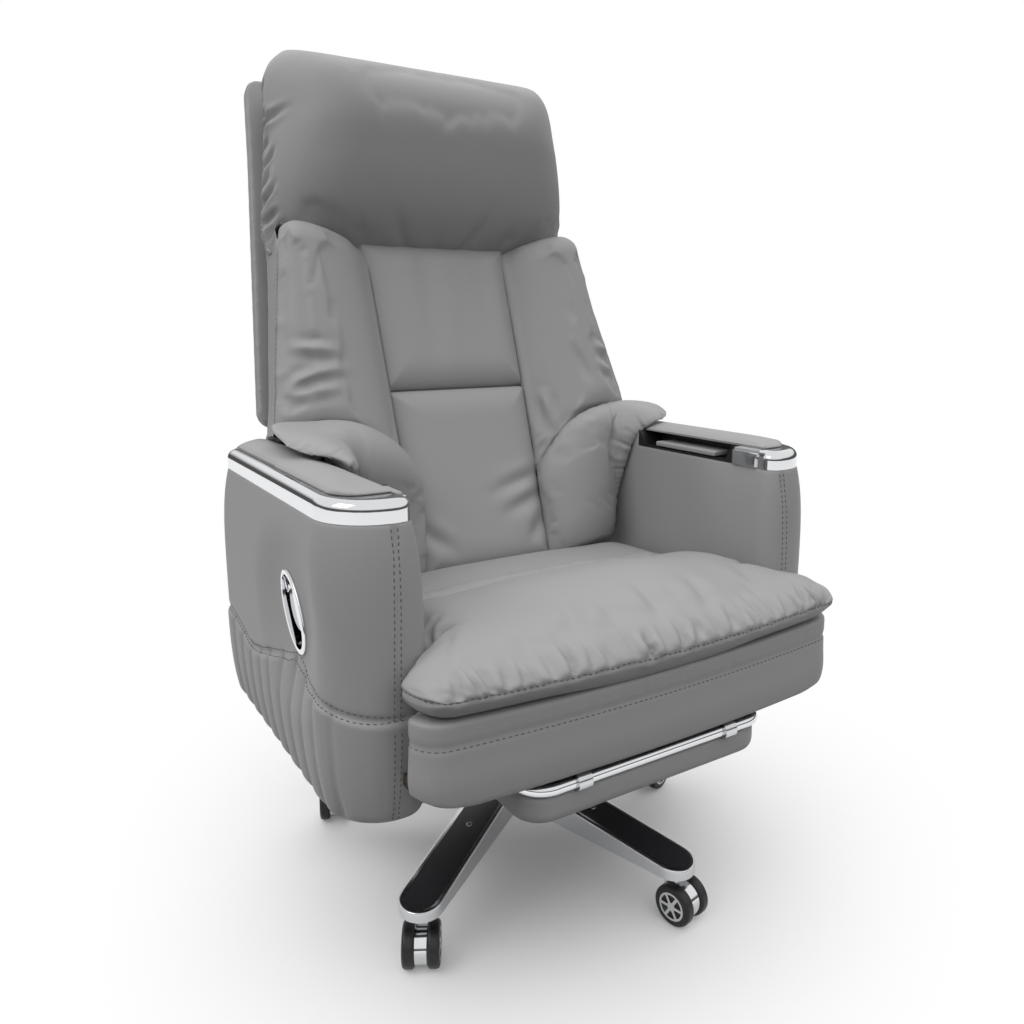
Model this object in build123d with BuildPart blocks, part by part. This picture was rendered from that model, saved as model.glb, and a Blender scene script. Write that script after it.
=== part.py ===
from build123d import *

import math
import os

os.makedirs("parts", exist_ok=True)

# Executive recliner chair on a five-legged caster base. Millimetres, +Z up, the sitter faces -Y,
# the origin is on the floor under the swivel column. Left and right are the sitter's: left is +X.

# Fits
RUNNING_GAP = 0.05
PLAY = 0.5
SEAM = 0.4

# Five-legged base
LEG_COUNT = 5
BASE_TURN = -1.0
BASE_RADIUS = 338.0
LEG_WIDTH = 62.0
LEG_RISE = 46.0
LEG_TIP_DEPTH = 14.0
LEG_ROOT_DEPTH = 52.0
LEG_WALL = 5.0
LEG_WEB = 4.0
LEG_RIM = 7.0
LEG_EDGE = 3.0
COVER_THICKNESS = 3.0
COVER_EDGE = 0.8
SCREW_RADIUS = 4.5
SCREW_PLACE = 165.0
HUB_RADIUS = 46.0
HUB_HEIGHT = 80.0
HUB_EDGE = 6.0

# Twin-wheel casters: the direction in which each one trails
WHEEL_RADIUS = 30.0
WHEEL_WIDTH = 16.5
WHEEL_EDGE = 5.0
HUBCAP_RADIUS = 20.5
HUBCAP_DEPTH = 2.4
HUBCAP_RING = 3.2
HUBCAP_BOSS = 6.5
SPOKE_COUNT = 6
SPOKE_WIDTH = 4.2
HOOD_WIDTH = 16.0
HOOD_RADIUS = 26.0
CASTER_TRAIL = 18.0
CASTER_NECK = 11.0
CASTER_INSET = 32.0
COLLAR_RADIUS = 7.8
SOCKET_RADIUS = 13.0
STEM_RADIUS = 5.5
STEM_LENGTH = 9.0
AXLE_RADIUS = 3.0
CASTER_TURNS = (200.0, 120.0, 68.0, 240.0, 281.0)

# Gas lift
TUBE_RADIUS = 25.0
TUBE_BORE = 20.0
TUBE_FLOOR = 6.0
TUBE_EDGE = 2.0
BUSH_LENGTH = 80.0
CYLINDER_RADIUS = 14.0
ROD_RADIUS = 5.0
ROD_SHOULDER = 9.0
SHOULDER_HEIGHT = 4.0
BEARING_RADIUS = 13.0
BEARING_HEIGHT = 6.0
BEARING_EDGE = 1.0
LIFT_TRAVEL = 80.0
LIFT_STOP = 6.0
ROD_HOLD = 30.0
TAPER_LENGTH = 28.0
TAPER_DROP = 1.0
LIFT_BUTTON = 4.0

# Swivel plate under the seat
BOARD_BOTTOM = 322.0
BOARD_THICKNESS = 15.0
PLATE_THICKNESS = 3.0
PLATE_WIDTH = 190.0
PLATE_LENGTH = 230.0
PLATE_CORNER = 12.0
HOUSING_WIDTH = 84.0
HOUSING_LENGTH = 160.0
HOUSING_DEPTH = 44.0
HOUSING_EDGE = 8.0
TUBE_CLEARANCE = 8.0
BOLT_RADIUS = 4.0
BOLT_HEAD_RADIUS = 7.0
BOLT_HEAD = 4.0
BOLT_GRIP = 12.0

# Lift lever on the sitter's right
LEVER_PLACE = 30.0
LEVER_PIVOT_X = -52.0
LEVER_PIVOT_Z = 286.0
LEVER_REACH = 262.0
LEVER_DROP = 18.0
LEVER_RADIUS = 4.0
LEVER_EYE = 7.0
LEVER_PIN = 3.0
LEVER_WIDTH = 10.0
PADDLE_LENGTH = 62.0
PADDLE_WIDTH = 30.0
PADDLE_THICKNESS = 7.0
EAR_THICKNESS = 4.0

# Seat
SEAT_FRONT = -345.0
SEAT_REAR = 105.0
SEAT_FRONT_HALF = 328.0
SEAT_SIDE_GAP = 13.0
SEAT_SHOULDER_GAP = 6.0
SEAT_CORNER = 34.0
SEAT_EDGE = 9.0
SEAT_BOX_HEIGHT = 83.0
SEAT_SKIRT = 22.0
BOARD_INSET = 12.0
CUSHION_REAR = 64.0
CUSHION_NOSE = 22.0
CUSHION_TIP_HALF = 334.0
CUSHION_REAR_HEIGHT = 43.0
CUSHION_CROWN = 86.0
CUSHION_CORNER = 30.0
CUSHION_FOLD = -90.0
CUSHION_FOLD_RISE = 4.0
CUSHION_BROW_RISE = 8.0

# Arms
ARM_INNER = 285.0
ARM_WIDTH = 95.0
ARM_FRONT = -265.0
ARM_REAR = 215.0
ARM_BOTTOM = 266.0
ARM_WALL_TOP = 628.0
ARM_TOP = 654.0
ARM_OUTER_CORNER = 70.0
ARM_INNER_CORNER = 20.0
ARM_REAR_CORNER = 26.0
ARM_BOTTOM_EDGE = 12.0
TRIM_BAND = 16.0
TRIM_CAP = 34.0
TRIM_HEIGHT = 27.0
TRIM_ROUND = 13.0
PAD_THICKNESS = 11.0
PAD_EDGE = 6.0
PAD_REAR_GAP = 14.0
POCKET_LENGTH = 225.0
POCKET_REACH = 46.0
POCKET_FRONT_GAP = 80.0
POCKET_WALL = 2.5
POCKET_RAMP = 18.0
BRACKET_PLACES = (-185.0, -10.0)
BRACKET_WIDTH = 46.0
BRACKET_THICKNESS = 5.0
BRACKET_FOOT = 66.0
BRACKET_HEIGHT = 82.0

# Recline pull in the right arm
PULL_Y = -109.0
PULL_Z = 493.0
PULL_LEAN = 37.8
PULL_LENGTH = 112.0
PULL_WIDTH = 66.0
PULL_RIM = 7.0
PULL_PROUD = 4.0
PULL_DEPTH = 26.0
PULL_WALL = 2.5
PADDLE_PIVOT = 34.0
PADDLE_SINK = 4.0
PULL_PIN = 2.0
PULL_KNUCKLE = 4.0
PULL_BLADE = 3.5
PULL_BLADE_REACH = 62.0
PULL_BLADE_HALF = 19.0

# Back: its tilt, and the point on its front face where it meets the seat
BACK_TILT = 19.4
BACK_Y = 71.0
BACK_Z = 467.0
PAD_DEPTH = 73.0
CENTRE_FOOT_HALF = 122.0
CENTRE_HEAD_HALF = 135.0
CENTRE_START = 6.0
CENTRE_MIDDLE = 284.0
CENTRE_END = 533.0
CENTRE_EDGE = 14.0
WING_PROUD = 52.0
WING_TOP = 548.0
WING_TOP_HALF = 268.0
WING_LOW = 245.0
WING_LOW_HALF = 306.0
WING_EDGE = 22.0
LOBE_PROUD = 48.0
LOBE_FOOT = 14.0
LOBE_ROOT = 135.0
LOBE_CREST_HALF = 190.0
LOBE_CREST = 202.0
LOBE_HALF = 277.0
LOBE_EDGE = 16.0
FLAP_HALF = 342.0
FLAP_INNER = 258.0
FLAP_FRONT = -28.0
FLAP_REAR = 160.0
FLAP_THICKNESS = 32.0
FLAP_GAP = 4.0
FLAP_CORNER = 40.0
FLAP_EDGE = 11.0
HEAD_START = 534.0
HEAD_END = 838.0
HEAD_FOOT_HALF = 272.0
HEAD_TOP_HALF = 246.0
HEAD_PROUD = 86.0
HEAD_BROW_ROUND = 110.0
HEAD_CHIN_ROUND = 60.0
HEAD_EDGE = 30.0
BACK_BOARD_THICKNESS = 15.0
BACK_BOARD_HALF = 232.0
BACK_BOARD_END = 800.0
RIB_PLACE = 120.0
RIB_WIDTH = 40.0
RIB_THICKNESS = 13.0
SHELL_THICKNESS = 30.0
SHELL_END = 840.0
SHELL_TOP_HALF = 249.0
SHELL_TOP_CORNER = 24.0
SHELL_WIDE_HALF = 313.0
SHELL_WIDE_START = 270.0
SHELL_WIDE_CORNER = 24.0
SHELL_FOOT_HALF = 268.0
SHELL_EDGE = 11.0

# Recliner hinge
PIVOT_Y = 165.0
PIVOT_Z = 385.0
SHAFT_RADIUS = 6.0
DISC_RADIUS = 30.0
SEAT_PLATE_PLACE = 236.0
HINGE_PLATE = 6.0
HINGE_SIDE_GAP = 1.0
SEAT_FLANGE_LENGTH = 68.0
SEAT_FLANGE_WIDTH = 28.0
FLANGE_THICKNESS = 5.0
STRAP_DEPTH = 11.0
STRAP_END = 165.0
STRAP_FLANGE = 42.0
SHAFT_NUT = 11.0
SHAFT_NUT_HEIGHT = 5.0

# Footrest
FOOT_BAR_Y = -353.0
FOOT_BAR_Z = 305.0
FOOT_TUBE_RADIUS = 8.0
FOOT_HALF = 190.0
FOOT_BEND = 34.0
FOOT_TUBE_END = 112.0
RAIL_RADIUS = 11.0
RAIL_START = -290.0
RAIL_END = -50.0
RAIL_SADDLE = 30.0
FOOT_PAD_HALF = 195.0
FOOT_PAD_NOSE = 1.0
FOOT_PAD_REACH = 194.0
FOOT_PAD_DEPTH = 25.0
FOOT_PAD_CORNER = 40.0
FOOT_PAD_EDGE = 14.0
FOOT_BOARD_THICKNESS = 10.0
FOOT_BOARD_INSET = 18.0
CLIP_PLACE = 120.0
CLIP_WIDTH = 20.0
CLIP_RADIUS = 12.0
CLIP_TAB = 58.0
CLIP_TAB_THICKNESS = 3.0

# Levels that follow from the sizes above
caster_place = BASE_RADIUS - CASTER_INSET
leg_bottom = 2 * WHEEL_RADIUS + CASTER_NECK
leg_tip_top = leg_bottom + LEG_TIP_DEPTH
leg_root_top = leg_tip_top + LEG_RISE
hub_bottom = leg_root_top + HUB_EDGE * 2 - HUB_HEIGHT
plate_bottom = BOARD_BOTTOM - PLATE_THICKNESS
housing_bottom = plate_bottom - HOUSING_DEPTH
tube_top = housing_bottom - TUBE_CLEARANCE
tube_bottom = hub_bottom - TUBE_FLOOR
bearing_bottom = tube_bottom + TUBE_FLOOR
shoulder_bottom = bearing_bottom + BEARING_HEIGHT
cylinder_bottom = shoulder_bottom + SHOULDER_HEIGHT + LIFT_STOP
rod_top = cylinder_bottom + LIFT_TRAVEL + ROD_HOLD
board_top = BOARD_BOTTOM + BOARD_THICKNESS
box_top = board_top + SEAT_BOX_HEIGHT
skirt_bottom = board_top - SEAT_SKIRT
skirt_inset = BOARD_INSET - SEAM
seat_half = ARM_INNER - SEAT_SIDE_GAP
shoulder_y = ARM_FRONT - SEAT_SHOULDER_GAP
arm_outer = ARM_INNER + ARM_WIDTH
trim_bottom = ARM_TOP - TRIM_HEIGHT
pocket_front = ARM_FRONT + POCKET_FRONT_GAP
pad_top = ARM_TOP + PAD_THICKNESS

# The back's own plane: x across, y up along its front face, z out of the face towards the sitter
tilt = math.radians(BACK_TILT)
back_plane = Plane(
    origin=(0, BACK_Y, BACK_Z),
    x_dir=(1, 0, 0),
    z_dir=(0, -math.cos(tilt), math.sin(tilt)),
)
back_board_rear = -PAD_DEPTH - BACK_BOARD_THICKNESS
shell_front = back_board_rear - RIB_THICKNESS


def write(part, name):
    """Label a finished piece and write it to its own file."""
    part.label = name
    export_step(part, f"parts/{name}.step")


def write_pair(part, name):
    """Write a left-hand piece and its mirror image for the right."""
    write(mirror(part, about=Plane.YZ, mode=Mode.PRIVATE), f"{name}_right")
    write(part, f"{name}_left")


def centre_half(along):
    """Half width of the centre panels at a distance along the back."""
    share = along / CENTRE_END
    return CENTRE_FOOT_HALF + (CENTRE_HEAD_HALF - CENTRE_FOOT_HALF) * share


# Base star: five hollow legs on a hub, each with a recess for its cover and a caster socket
leg_slope = math.atan2(LEG_RISE, BASE_RADIUS)
leg_top_plane = Plane(
    origin=(0, 0, leg_root_top),
    x_dir=(math.cos(leg_slope), 0, -math.sin(leg_slope)),
    z_dir=(math.sin(leg_slope), 0, math.cos(leg_slope)),
)
cover_start = HUB_RADIUS + LEG_RIM
cover_end = (BASE_RADIUS - LEG_WIDTH / 2) / math.cos(leg_slope)


def cover_outline(half):
    """Face of a leg's cover in the leg's sloping top plane."""
    with BuildSketch(leg_top_plane) as outline:
        with Locations((cover_start, 0)):
            Rectangle(cover_end - cover_start, 2 * half, align=(Align.MIN, Align.CENTER))
        with Locations((cover_end, 0)):
            Circle(half)
    return outline.sketch


with BuildPart() as leg:
    with BuildSketch(Plane.XZ):
        with BuildLine():
            Polyline(
                (0, leg_root_top - LEG_ROOT_DEPTH),
                (BASE_RADIUS, leg_bottom),
                (BASE_RADIUS, leg_tip_top),
                (0, leg_root_top),
                close=True,
            )
        make_face()
    extrude(amount=LEG_WIDTH / 2, both=True)
    with BuildSketch():
        Rectangle(BASE_RADIUS - LEG_WIDTH / 2, LEG_WIDTH, align=(Align.MIN, Align.CENTER))
        with Locations((BASE_RADIUS - LEG_WIDTH / 2, 0)):
            Circle(LEG_WIDTH / 2)
    extrude(amount=2 * leg_root_top, mode=Mode.INTERSECT)
    leg_top = leg.faces().filter_by(GeomType.PLANE).sort_by(Axis.Z)[-1]
    fillet(leg_top.edges(), LEG_EDGE)
    channel_top = leg_top_plane.offset(-COVER_THICKNESS - LEG_WEB)
    with BuildSketch(channel_top):
        with Locations((HUB_RADIUS, 0)):
            Rectangle(
                caster_place - SOCKET_RADIUS - HUB_RADIUS,
                LEG_WIDTH - 2 * LEG_WALL,
                align=(Align.MIN, Align.CENTER),
            )
    extrude(amount=-leg_root_top, mode=Mode.SUBTRACT)
    recess = cover_outline(LEG_WIDTH / 2 - LEG_RIM)
    extrude(to_extrude=recess, amount=-COVER_THICKNESS, mode=Mode.SUBTRACT)

with BuildPart() as star_base:
    with PolarLocations(0, LEG_COUNT, start_angle=BASE_TURN):
        add(leg.part)
    with BuildSketch(Plane.XY.offset(hub_bottom)):
        Circle(HUB_RADIUS)
    extrude(amount=HUB_HEIGHT)
    fillet(star_base.edges().filter_by(GeomType.CIRCLE).sort_by(Axis.Z)[-1], HUB_EDGE)
    with BuildSketch(Plane.XY.offset(leg_bottom)):
        with PolarLocations(caster_place, LEG_COUNT, start_angle=BASE_TURN):
            Circle(SOCKET_RADIUS)
    extrude(amount=STEM_LENGTH + LEG_WEB)
    with BuildSketch(Plane.XY.offset(leg_bottom)):
        with PolarLocations(caster_place, LEG_COUNT, start_angle=BASE_TURN):
            Circle(STEM_RADIUS + RUNNING_GAP)
    extrude(amount=STEM_LENGTH + PLAY, mode=Mode.SUBTRACT)
    with BuildSketch(Plane.XY.offset(hub_bottom)):
        Circle(TUBE_RADIUS)
    extrude(amount=HUB_HEIGHT, mode=Mode.SUBTRACT)
write(star_base.part, "star_base")

with BuildPart() as cover:
    extrude(to_extrude=cover_outline(LEG_WIDTH / 2 - LEG_RIM - PLAY), amount=-COVER_THICKNESS)
    fillet(cover.faces().sort_by(Axis.Z)[-1].edges(), COVER_EDGE)
    with Locations(leg_top_plane):
        with Locations((SCREW_PLACE, 0)):
            Hole(SCREW_RADIUS)
with BuildPart() as leg_covers:
    with PolarLocations(0, LEG_COUNT, start_angle=BASE_TURN):
        add(cover.part)
write(leg_covers.part, "leg_covers")

with BuildPart() as screw:
    with BuildSketch(leg_top_plane.offset(-COVER_THICKNESS)):
        with Locations((SCREW_PLACE, 0)):
            Circle(SCREW_RADIUS - RUNNING_GAP)
    extrude(amount=COVER_THICKNESS + COVER_EDGE)
    fillet(screw.faces().sort_by(Axis.Z)[-1].edges(), COVER_EDGE)
with BuildPart() as leg_cover_screws:
    with PolarLocations(0, LEG_COUNT, start_angle=BASE_TURN):
        add(screw.part)
write(leg_cover_screws.part, "leg_cover_screws")

# Casters: the stem stands on the local Z axis and the axle lies along local Y behind it
hood_half = HOOD_WIDTH / 2
wheel_start = hood_half + PLAY
with BuildPart() as caster_hood:
    with BuildSketch(Plane.XZ):
        with Locations((CASTER_TRAIL, WHEEL_RADIUS)):
            Circle(HOOD_RADIUS)
        with BuildLine():
            Polyline(
                (-COLLAR_RADIUS, leg_bottom - PLAY),
                (COLLAR_RADIUS, leg_bottom - PLAY),
                (CASTER_TRAIL, WHEEL_RADIUS),
                (-COLLAR_RADIUS, WHEEL_RADIUS + COLLAR_RADIUS),
                close=True,
            )
        make_face()
    extrude(amount=hood_half, both=True)
    with BuildSketch(Plane.XZ):
        with Locations((CASTER_TRAIL, WHEEL_RADIUS)):
            Circle(AXLE_RADIUS)
    extrude(amount=HOOD_WIDTH, both=True, mode=Mode.SUBTRACT)
    with BuildSketch(Plane.XY.offset(leg_bottom - PLAY)):
        Circle(STEM_RADIUS)
    extrude(amount=STEM_LENGTH)
with BuildPart() as caster_axle:
    with BuildSketch(Plane.XZ):
        with Locations((CASTER_TRAIL, WHEEL_RADIUS)):
            Circle(AXLE_RADIUS)
    extrude(amount=wheel_start + WHEEL_WIDTH - HUBCAP_DEPTH - PLAY, both=True)

with BuildPart() as wheel:
    wheel_plane = Plane(
        origin=(CASTER_TRAIL, wheel_start, WHEEL_RADIUS), x_dir=(1, 0, 0), z_dir=(0, 1, 0)
    )
    with BuildSketch(wheel_plane):
        Circle(WHEEL_RADIUS)
    extrude(amount=WHEEL_WIDTH)
    fillet(wheel.edges().filter_by(GeomType.CIRCLE), WHEEL_EDGE)
    with BuildSketch(wheel_plane):
        Circle(AXLE_RADIUS + RUNNING_GAP)
    extrude(amount=WHEEL_WIDTH, mode=Mode.SUBTRACT)
    with BuildSketch(wheel_plane.offset(WHEEL_WIDTH - HUBCAP_DEPTH)):
        Circle(HUBCAP_RADIUS)
    extrude(amount=HUBCAP_DEPTH, mode=Mode.SUBTRACT)
with BuildPart() as hubcap:
    with BuildSketch(wheel_plane.offset(WHEEL_WIDTH - HUBCAP_DEPTH)):
        Circle(HUBCAP_RADIUS - RUNNING_GAP)
        Circle(HUBCAP_RADIUS - HUBCAP_RING, mode=Mode.SUBTRACT)
        with PolarLocations(0, SPOKE_COUNT):
            Rectangle(HUBCAP_RADIUS - HUBCAP_RING / 2, SPOKE_WIDTH, align=(Align.MIN, Align.CENTER))
        Circle(HUBCAP_BOSS)
    extrude(amount=HUBCAP_DEPTH)

for index, turn in enumerate(CASTER_TURNS):
    angle = math.radians(BASE_TURN + 360.0 / LEG_COUNT * index)
    stem = (caster_place * math.cos(angle), caster_place * math.sin(angle), 0)
    place = Location(stem, (0, 0, turn))
    with BuildPart() as tyres:
        with Locations(place):
            add(wheel.part)
            add(mirror(wheel.part, about=Plane.XZ, mode=Mode.PRIVATE))
    with BuildPart() as hubcaps:
        with Locations(place):
            add(hubcap.part)
            add(mirror(hubcap.part, about=Plane.XZ, mode=Mode.PRIVATE))
    hood_and_axle = Compound(children=[caster_hood.part.moved(place), caster_axle.part.moved(place)])
    write(hood_and_axle, f"caster_{index + 1}_hood")
    write(tyres.part, f"caster_{index + 1}_wheels")
    write(hubcaps.part, f"caster_{index + 1}_hubcaps")

# Gas lift: outer tube in the hub, guide bush, thrust bearing, piston rod and cylinder
with BuildPart() as outer_tube:
    with BuildSketch(Plane.XY.offset(tube_bottom)):
        Circle(TUBE_RADIUS)
    extrude(amount=tube_top - tube_bottom)
    with BuildSketch(Plane.XY.offset(bearing_bottom)):
        Circle(TUBE_BORE)
    extrude(amount=tube_top - bearing_bottom, mode=Mode.SUBTRACT)
    with BuildSketch(Plane.XY.offset(tube_bottom)):
        Circle(ROD_RADIUS + RUNNING_GAP)
    extrude(amount=TUBE_FLOOR, mode=Mode.SUBTRACT)
    tube_rims = outer_tube.edges().filter_by(GeomType.CIRCLE).group_by(Axis.Z)[-1]
    fillet(tube_rims.sort_by(SortBy.LENGTH)[-1], TUBE_EDGE)
write(outer_tube.part, "gas_lift_outer_tube")

with BuildPart() as guide_bush:
    with BuildSketch(Plane.XY.offset(tube_top - BUSH_LENGTH)):
        Circle(TUBE_BORE)
        Circle(CYLINDER_RADIUS + RUNNING_GAP, mode=Mode.SUBTRACT)
    extrude(amount=BUSH_LENGTH)
write(guide_bush.part, "gas_lift_guide_bush")

with BuildPart() as thrust_bearing:
    with BuildSketch(Plane.XY.offset(bearing_bottom)):
        Circle(BEARING_RADIUS)
        Circle(ROD_RADIUS + RUNNING_GAP, mode=Mode.SUBTRACT)
    extrude(amount=BEARING_HEIGHT)
    fillet(thrust_bearing.edges().filter_by(GeomType.CIRCLE), BEARING_EDGE)
write(thrust_bearing.part, "gas_lift_thrust_bearing")

with BuildPart() as piston_rod:
    with BuildSketch(Plane.XY.offset(tube_bottom)):
        Circle(ROD_RADIUS)
    extrude(amount=rod_top - tube_bottom)
    with BuildSketch(Plane.XY.offset(shoulder_bottom)):
        Circle(ROD_SHOULDER)
    extrude(amount=SHOULDER_HEIGHT)
write(piston_rod.part, "gas_lift_piston_rod")

with BuildPart() as cylinder:
    with BuildSketch(Plane.XZ):
        with BuildLine():
            Polyline(
                (0, cylinder_bottom),
                (CYLINDER_RADIUS, cylinder_bottom),
                (CYLINDER_RADIUS, housing_bottom),
                (CYLINDER_RADIUS - TAPER_DROP, housing_bottom + TAPER_LENGTH),
                (LIFT_BUTTON, housing_bottom + TAPER_LENGTH),
                (LIFT_BUTTON, housing_bottom + TAPER_LENGTH + LIFT_BUTTON),
                (0, housing_bottom + TAPER_LENGTH + LIFT_BUTTON),
                close=True,
            )
        make_face()
    revolve(axis=Axis.Z)
    with BuildSketch(Plane.XY.offset(cylinder_bottom)):
        Circle(ROD_RADIUS + RUNNING_GAP)
    extrude(amount=rod_top + LIFT_STOP - cylinder_bottom, mode=Mode.SUBTRACT)
write(cylinder.part, "gas_lift_cylinder")

# Swivel plate: a pressed flange with a housing that takes the cylinder's taper and the lever's ears
with BuildPart() as swivel_plate:
    with BuildSketch(Plane.XY.offset(plate_bottom)):
        RectangleRounded(PLATE_WIDTH, PLATE_LENGTH, PLATE_CORNER)
    extrude(amount=PLATE_THICKNESS)
    with BuildSketch(Plane.XY.offset(housing_bottom)):
        RectangleRounded(HOUSING_WIDTH, HOUSING_LENGTH, HOUSING_EDGE)
    extrude(amount=HOUSING_DEPTH)
    fillet(swivel_plate.faces().sort_by(Axis.Z)[0].edges(), HOUSING_EDGE / 2)
    with BuildSketch(Plane.XZ):
        with BuildLine():
            Polyline(
                (0, housing_bottom),
                (CYLINDER_RADIUS, housing_bottom),
                (CYLINDER_RADIUS - TAPER_DROP, housing_bottom + TAPER_LENGTH),
                (CYLINDER_RADIUS - TAPER_DROP, housing_bottom + TAPER_LENGTH + 2 * LIFT_BUTTON),
                (0, housing_bottom + TAPER_LENGTH + 2 * LIFT_BUTTON),
                close=True,
            )
        make_face()
    revolve(axis=Axis.Z, mode=Mode.SUBTRACT)
    ear_start = LEVER_WIDTH / 2 + PLAY
    for ear_side in (-1, 1):
        ear_plane = Plane.XZ.offset(-LEVER_PLACE + ear_side * (ear_start + EAR_THICKNESS / 2))
        with BuildSketch(ear_plane):
            with Locations((LEVER_PIVOT_X, LEVER_PIVOT_Z)):
                Circle(LEVER_EYE)
                Rectangle(
                    -HOUSING_WIDTH / 2 - LEVER_PIVOT_X + HOUSING_EDGE,
                    2 * LEVER_EYE,
                    align=(Align.MIN, Align.CENTER),
                )
        extrude(amount=EAR_THICKNESS / 2, both=True)
    with BuildSketch(Plane.XZ.offset(-LEVER_PLACE)):
        with Locations((LEVER_PIVOT_X, LEVER_PIVOT_Z)):
            Circle(LEVER_PIN)
    extrude(amount=ear_start + EAR_THICKNESS, both=True)
    with BuildSketch(Plane.XY.offset(plate_bottom)):
        with GridLocations(PLATE_WIDTH - 2 * PLATE_CORNER, PLATE_LENGTH - 2 * PLATE_CORNER, 2, 2):
            Circle(BOLT_RADIUS + RUNNING_GAP)
    extrude(amount=PLATE_THICKNESS, mode=Mode.SUBTRACT)
write(swivel_plate.part, "swivel_plate")

with BuildPart() as plate_bolts:
    with BuildSketch(Plane.XY.offset(plate_bottom - BOLT_HEAD)):
        with GridLocations(PLATE_WIDTH - 2 * PLATE_CORNER, PLATE_LENGTH - 2 * PLATE_CORNER, 2, 2):
            RegularPolygon(BOLT_HEAD_RADIUS, 6)
    extrude(amount=BOLT_HEAD)
    with BuildSketch(Plane.XY.offset(plate_bottom)):
        with GridLocations(PLATE_WIDTH - 2 * PLATE_CORNER, PLATE_LENGTH - 2 * PLATE_CORNER, 2, 2):
            Circle(BOLT_RADIUS)
    extrude(amount=PLATE_THICKNESS + BOLT_GRIP)
write(plate_bolts.part, "plate_bolts")

# Lift lever: an eye on the ears' pin, a rod that slopes out under the footrest tubes, a flat paddle
lever_fall = math.atan2(LEVER_DROP, LEVER_REACH + LEVER_PIVOT_X)
lever_plane = Plane(
    origin=(LEVER_PIVOT_X, LEVER_PLACE, LEVER_PIVOT_Z),
    x_dir=(-math.cos(lever_fall), 0, -math.sin(lever_fall)),
    z_dir=(-math.sin(lever_fall), 0, math.cos(lever_fall)),
)
rod_length = LEVER_REACH + LEVER_PIVOT_X - PADDLE_LENGTH
with BuildPart() as lift_lever:
    with BuildSketch(Plane.XZ.offset(-LEVER_PLACE)):
        with Locations((LEVER_PIVOT_X, LEVER_PIVOT_Z)):
            Circle(LEVER_EYE)
    extrude(amount=LEVER_WIDTH / 2, both=True)
    with BuildSketch(Plane(origin=lever_plane.origin, x_dir=(0, 1, 0), z_dir=lever_plane.x_dir)):
        Circle(LEVER_RADIUS)
    extrude(amount=rod_length + LEVER_RADIUS)
    with BuildSketch(lever_plane.offset(-PADDLE_THICKNESS / 2)):
        with Locations((rod_length + PADDLE_LENGTH / 2, 0)):
            RectangleRounded(PADDLE_LENGTH, PADDLE_WIDTH, PADDLE_WIDTH / 3)
    paddle = extrude(amount=PADDLE_THICKNESS)
    fillet(paddle.faces().sort_by(Axis.Z)[-1].edges(), PADDLE_THICKNESS / 3)
    with BuildSketch(Plane.XZ.offset(-LEVER_PLACE)):
        with Locations((LEVER_PIVOT_X, LEVER_PIVOT_Z)):
            Circle(LEVER_PIN + RUNNING_GAP)
    extrude(amount=LEVER_WIDTH, both=True, mode=Mode.SUBTRACT)
write(lift_lever.part, "lift_lever")


# Seat: board, padded box and cushion share a T-shaped outline with ears in front of the arms
def seat_outline(level, front, front_half, rear_half, rear, corner):
    """T-shaped face of the seat at a level, with its front corners rounded."""
    with BuildSketch(Plane.XY.offset(level)) as outline:
        with BuildLine():
            Polyline(
                (-front_half, front),
                (front_half, front),
                (front_half, shoulder_y),
                (rear_half, shoulder_y),
                (rear_half, rear),
                (-rear_half, rear),
                (-rear_half, shoulder_y),
                (-front_half, shoulder_y),
                close=True,
            )
        make_face()
        fillet(outline.vertices().group_by(Axis.Y)[0], corner)
    return outline.sketch


with BuildPart() as seat_board:
    extrude(
        to_extrude=seat_outline(
            BOARD_BOTTOM,
            SEAT_FRONT + BOARD_INSET,
            SEAT_FRONT_HALF - BOARD_INSET,
            seat_half - BOARD_INSET,
            SEAT_REAR,
            SEAT_CORNER - BOARD_INSET,
        ),
        amount=BOARD_THICKNESS,
    )
    with BuildSketch(Plane.XY.offset(BOARD_BOTTOM)):
        with GridLocations(PLATE_WIDTH - 2 * PLATE_CORNER, PLATE_LENGTH - 2 * PLATE_CORNER, 2, 2):
            Circle(BOLT_RADIUS)
    extrude(amount=BOLT_GRIP, mode=Mode.SUBTRACT)
write(seat_board.part, "seat_board")

# The box reaches down in front as a skirt that hides the board's edge
with BuildPart() as seat_box:
    extrude(
        to_extrude=seat_outline(
            skirt_bottom, SEAT_FRONT, SEAT_FRONT_HALF, seat_half, SEAT_REAR, SEAT_CORNER
        ),
        amount=SEAT_SKIRT + SEAT_BOX_HEIGHT,
    )
    fillet(seat_box.faces().sort_by(Axis.Z)[0].edges().sort_by(Axis.Y)[0], SEAT_EDGE)
    extrude(
        to_extrude=seat_outline(
            skirt_bottom,
            SEAT_FRONT + skirt_inset,
            SEAT_FRONT_HALF - skirt_inset,
            seat_half - skirt_inset,
            SEAT_REAR,
            SEAT_CORNER - skirt_inset,
        ),
        amount=SEAT_SKIRT,
        mode=Mode.SUBTRACT,
    )
    with BuildSketch(Plane.XY.offset(skirt_bottom)):
        with Locations((0, shoulder_y)):
            Rectangle(2 * SEAT_FRONT_HALF, SEAT_REAR - shoulder_y, align=(Align.CENTER, Align.MIN))
    extrude(amount=SEAT_SKIRT, mode=Mode.SUBTRACT)
write(seat_box.part, "seat_box")

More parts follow.
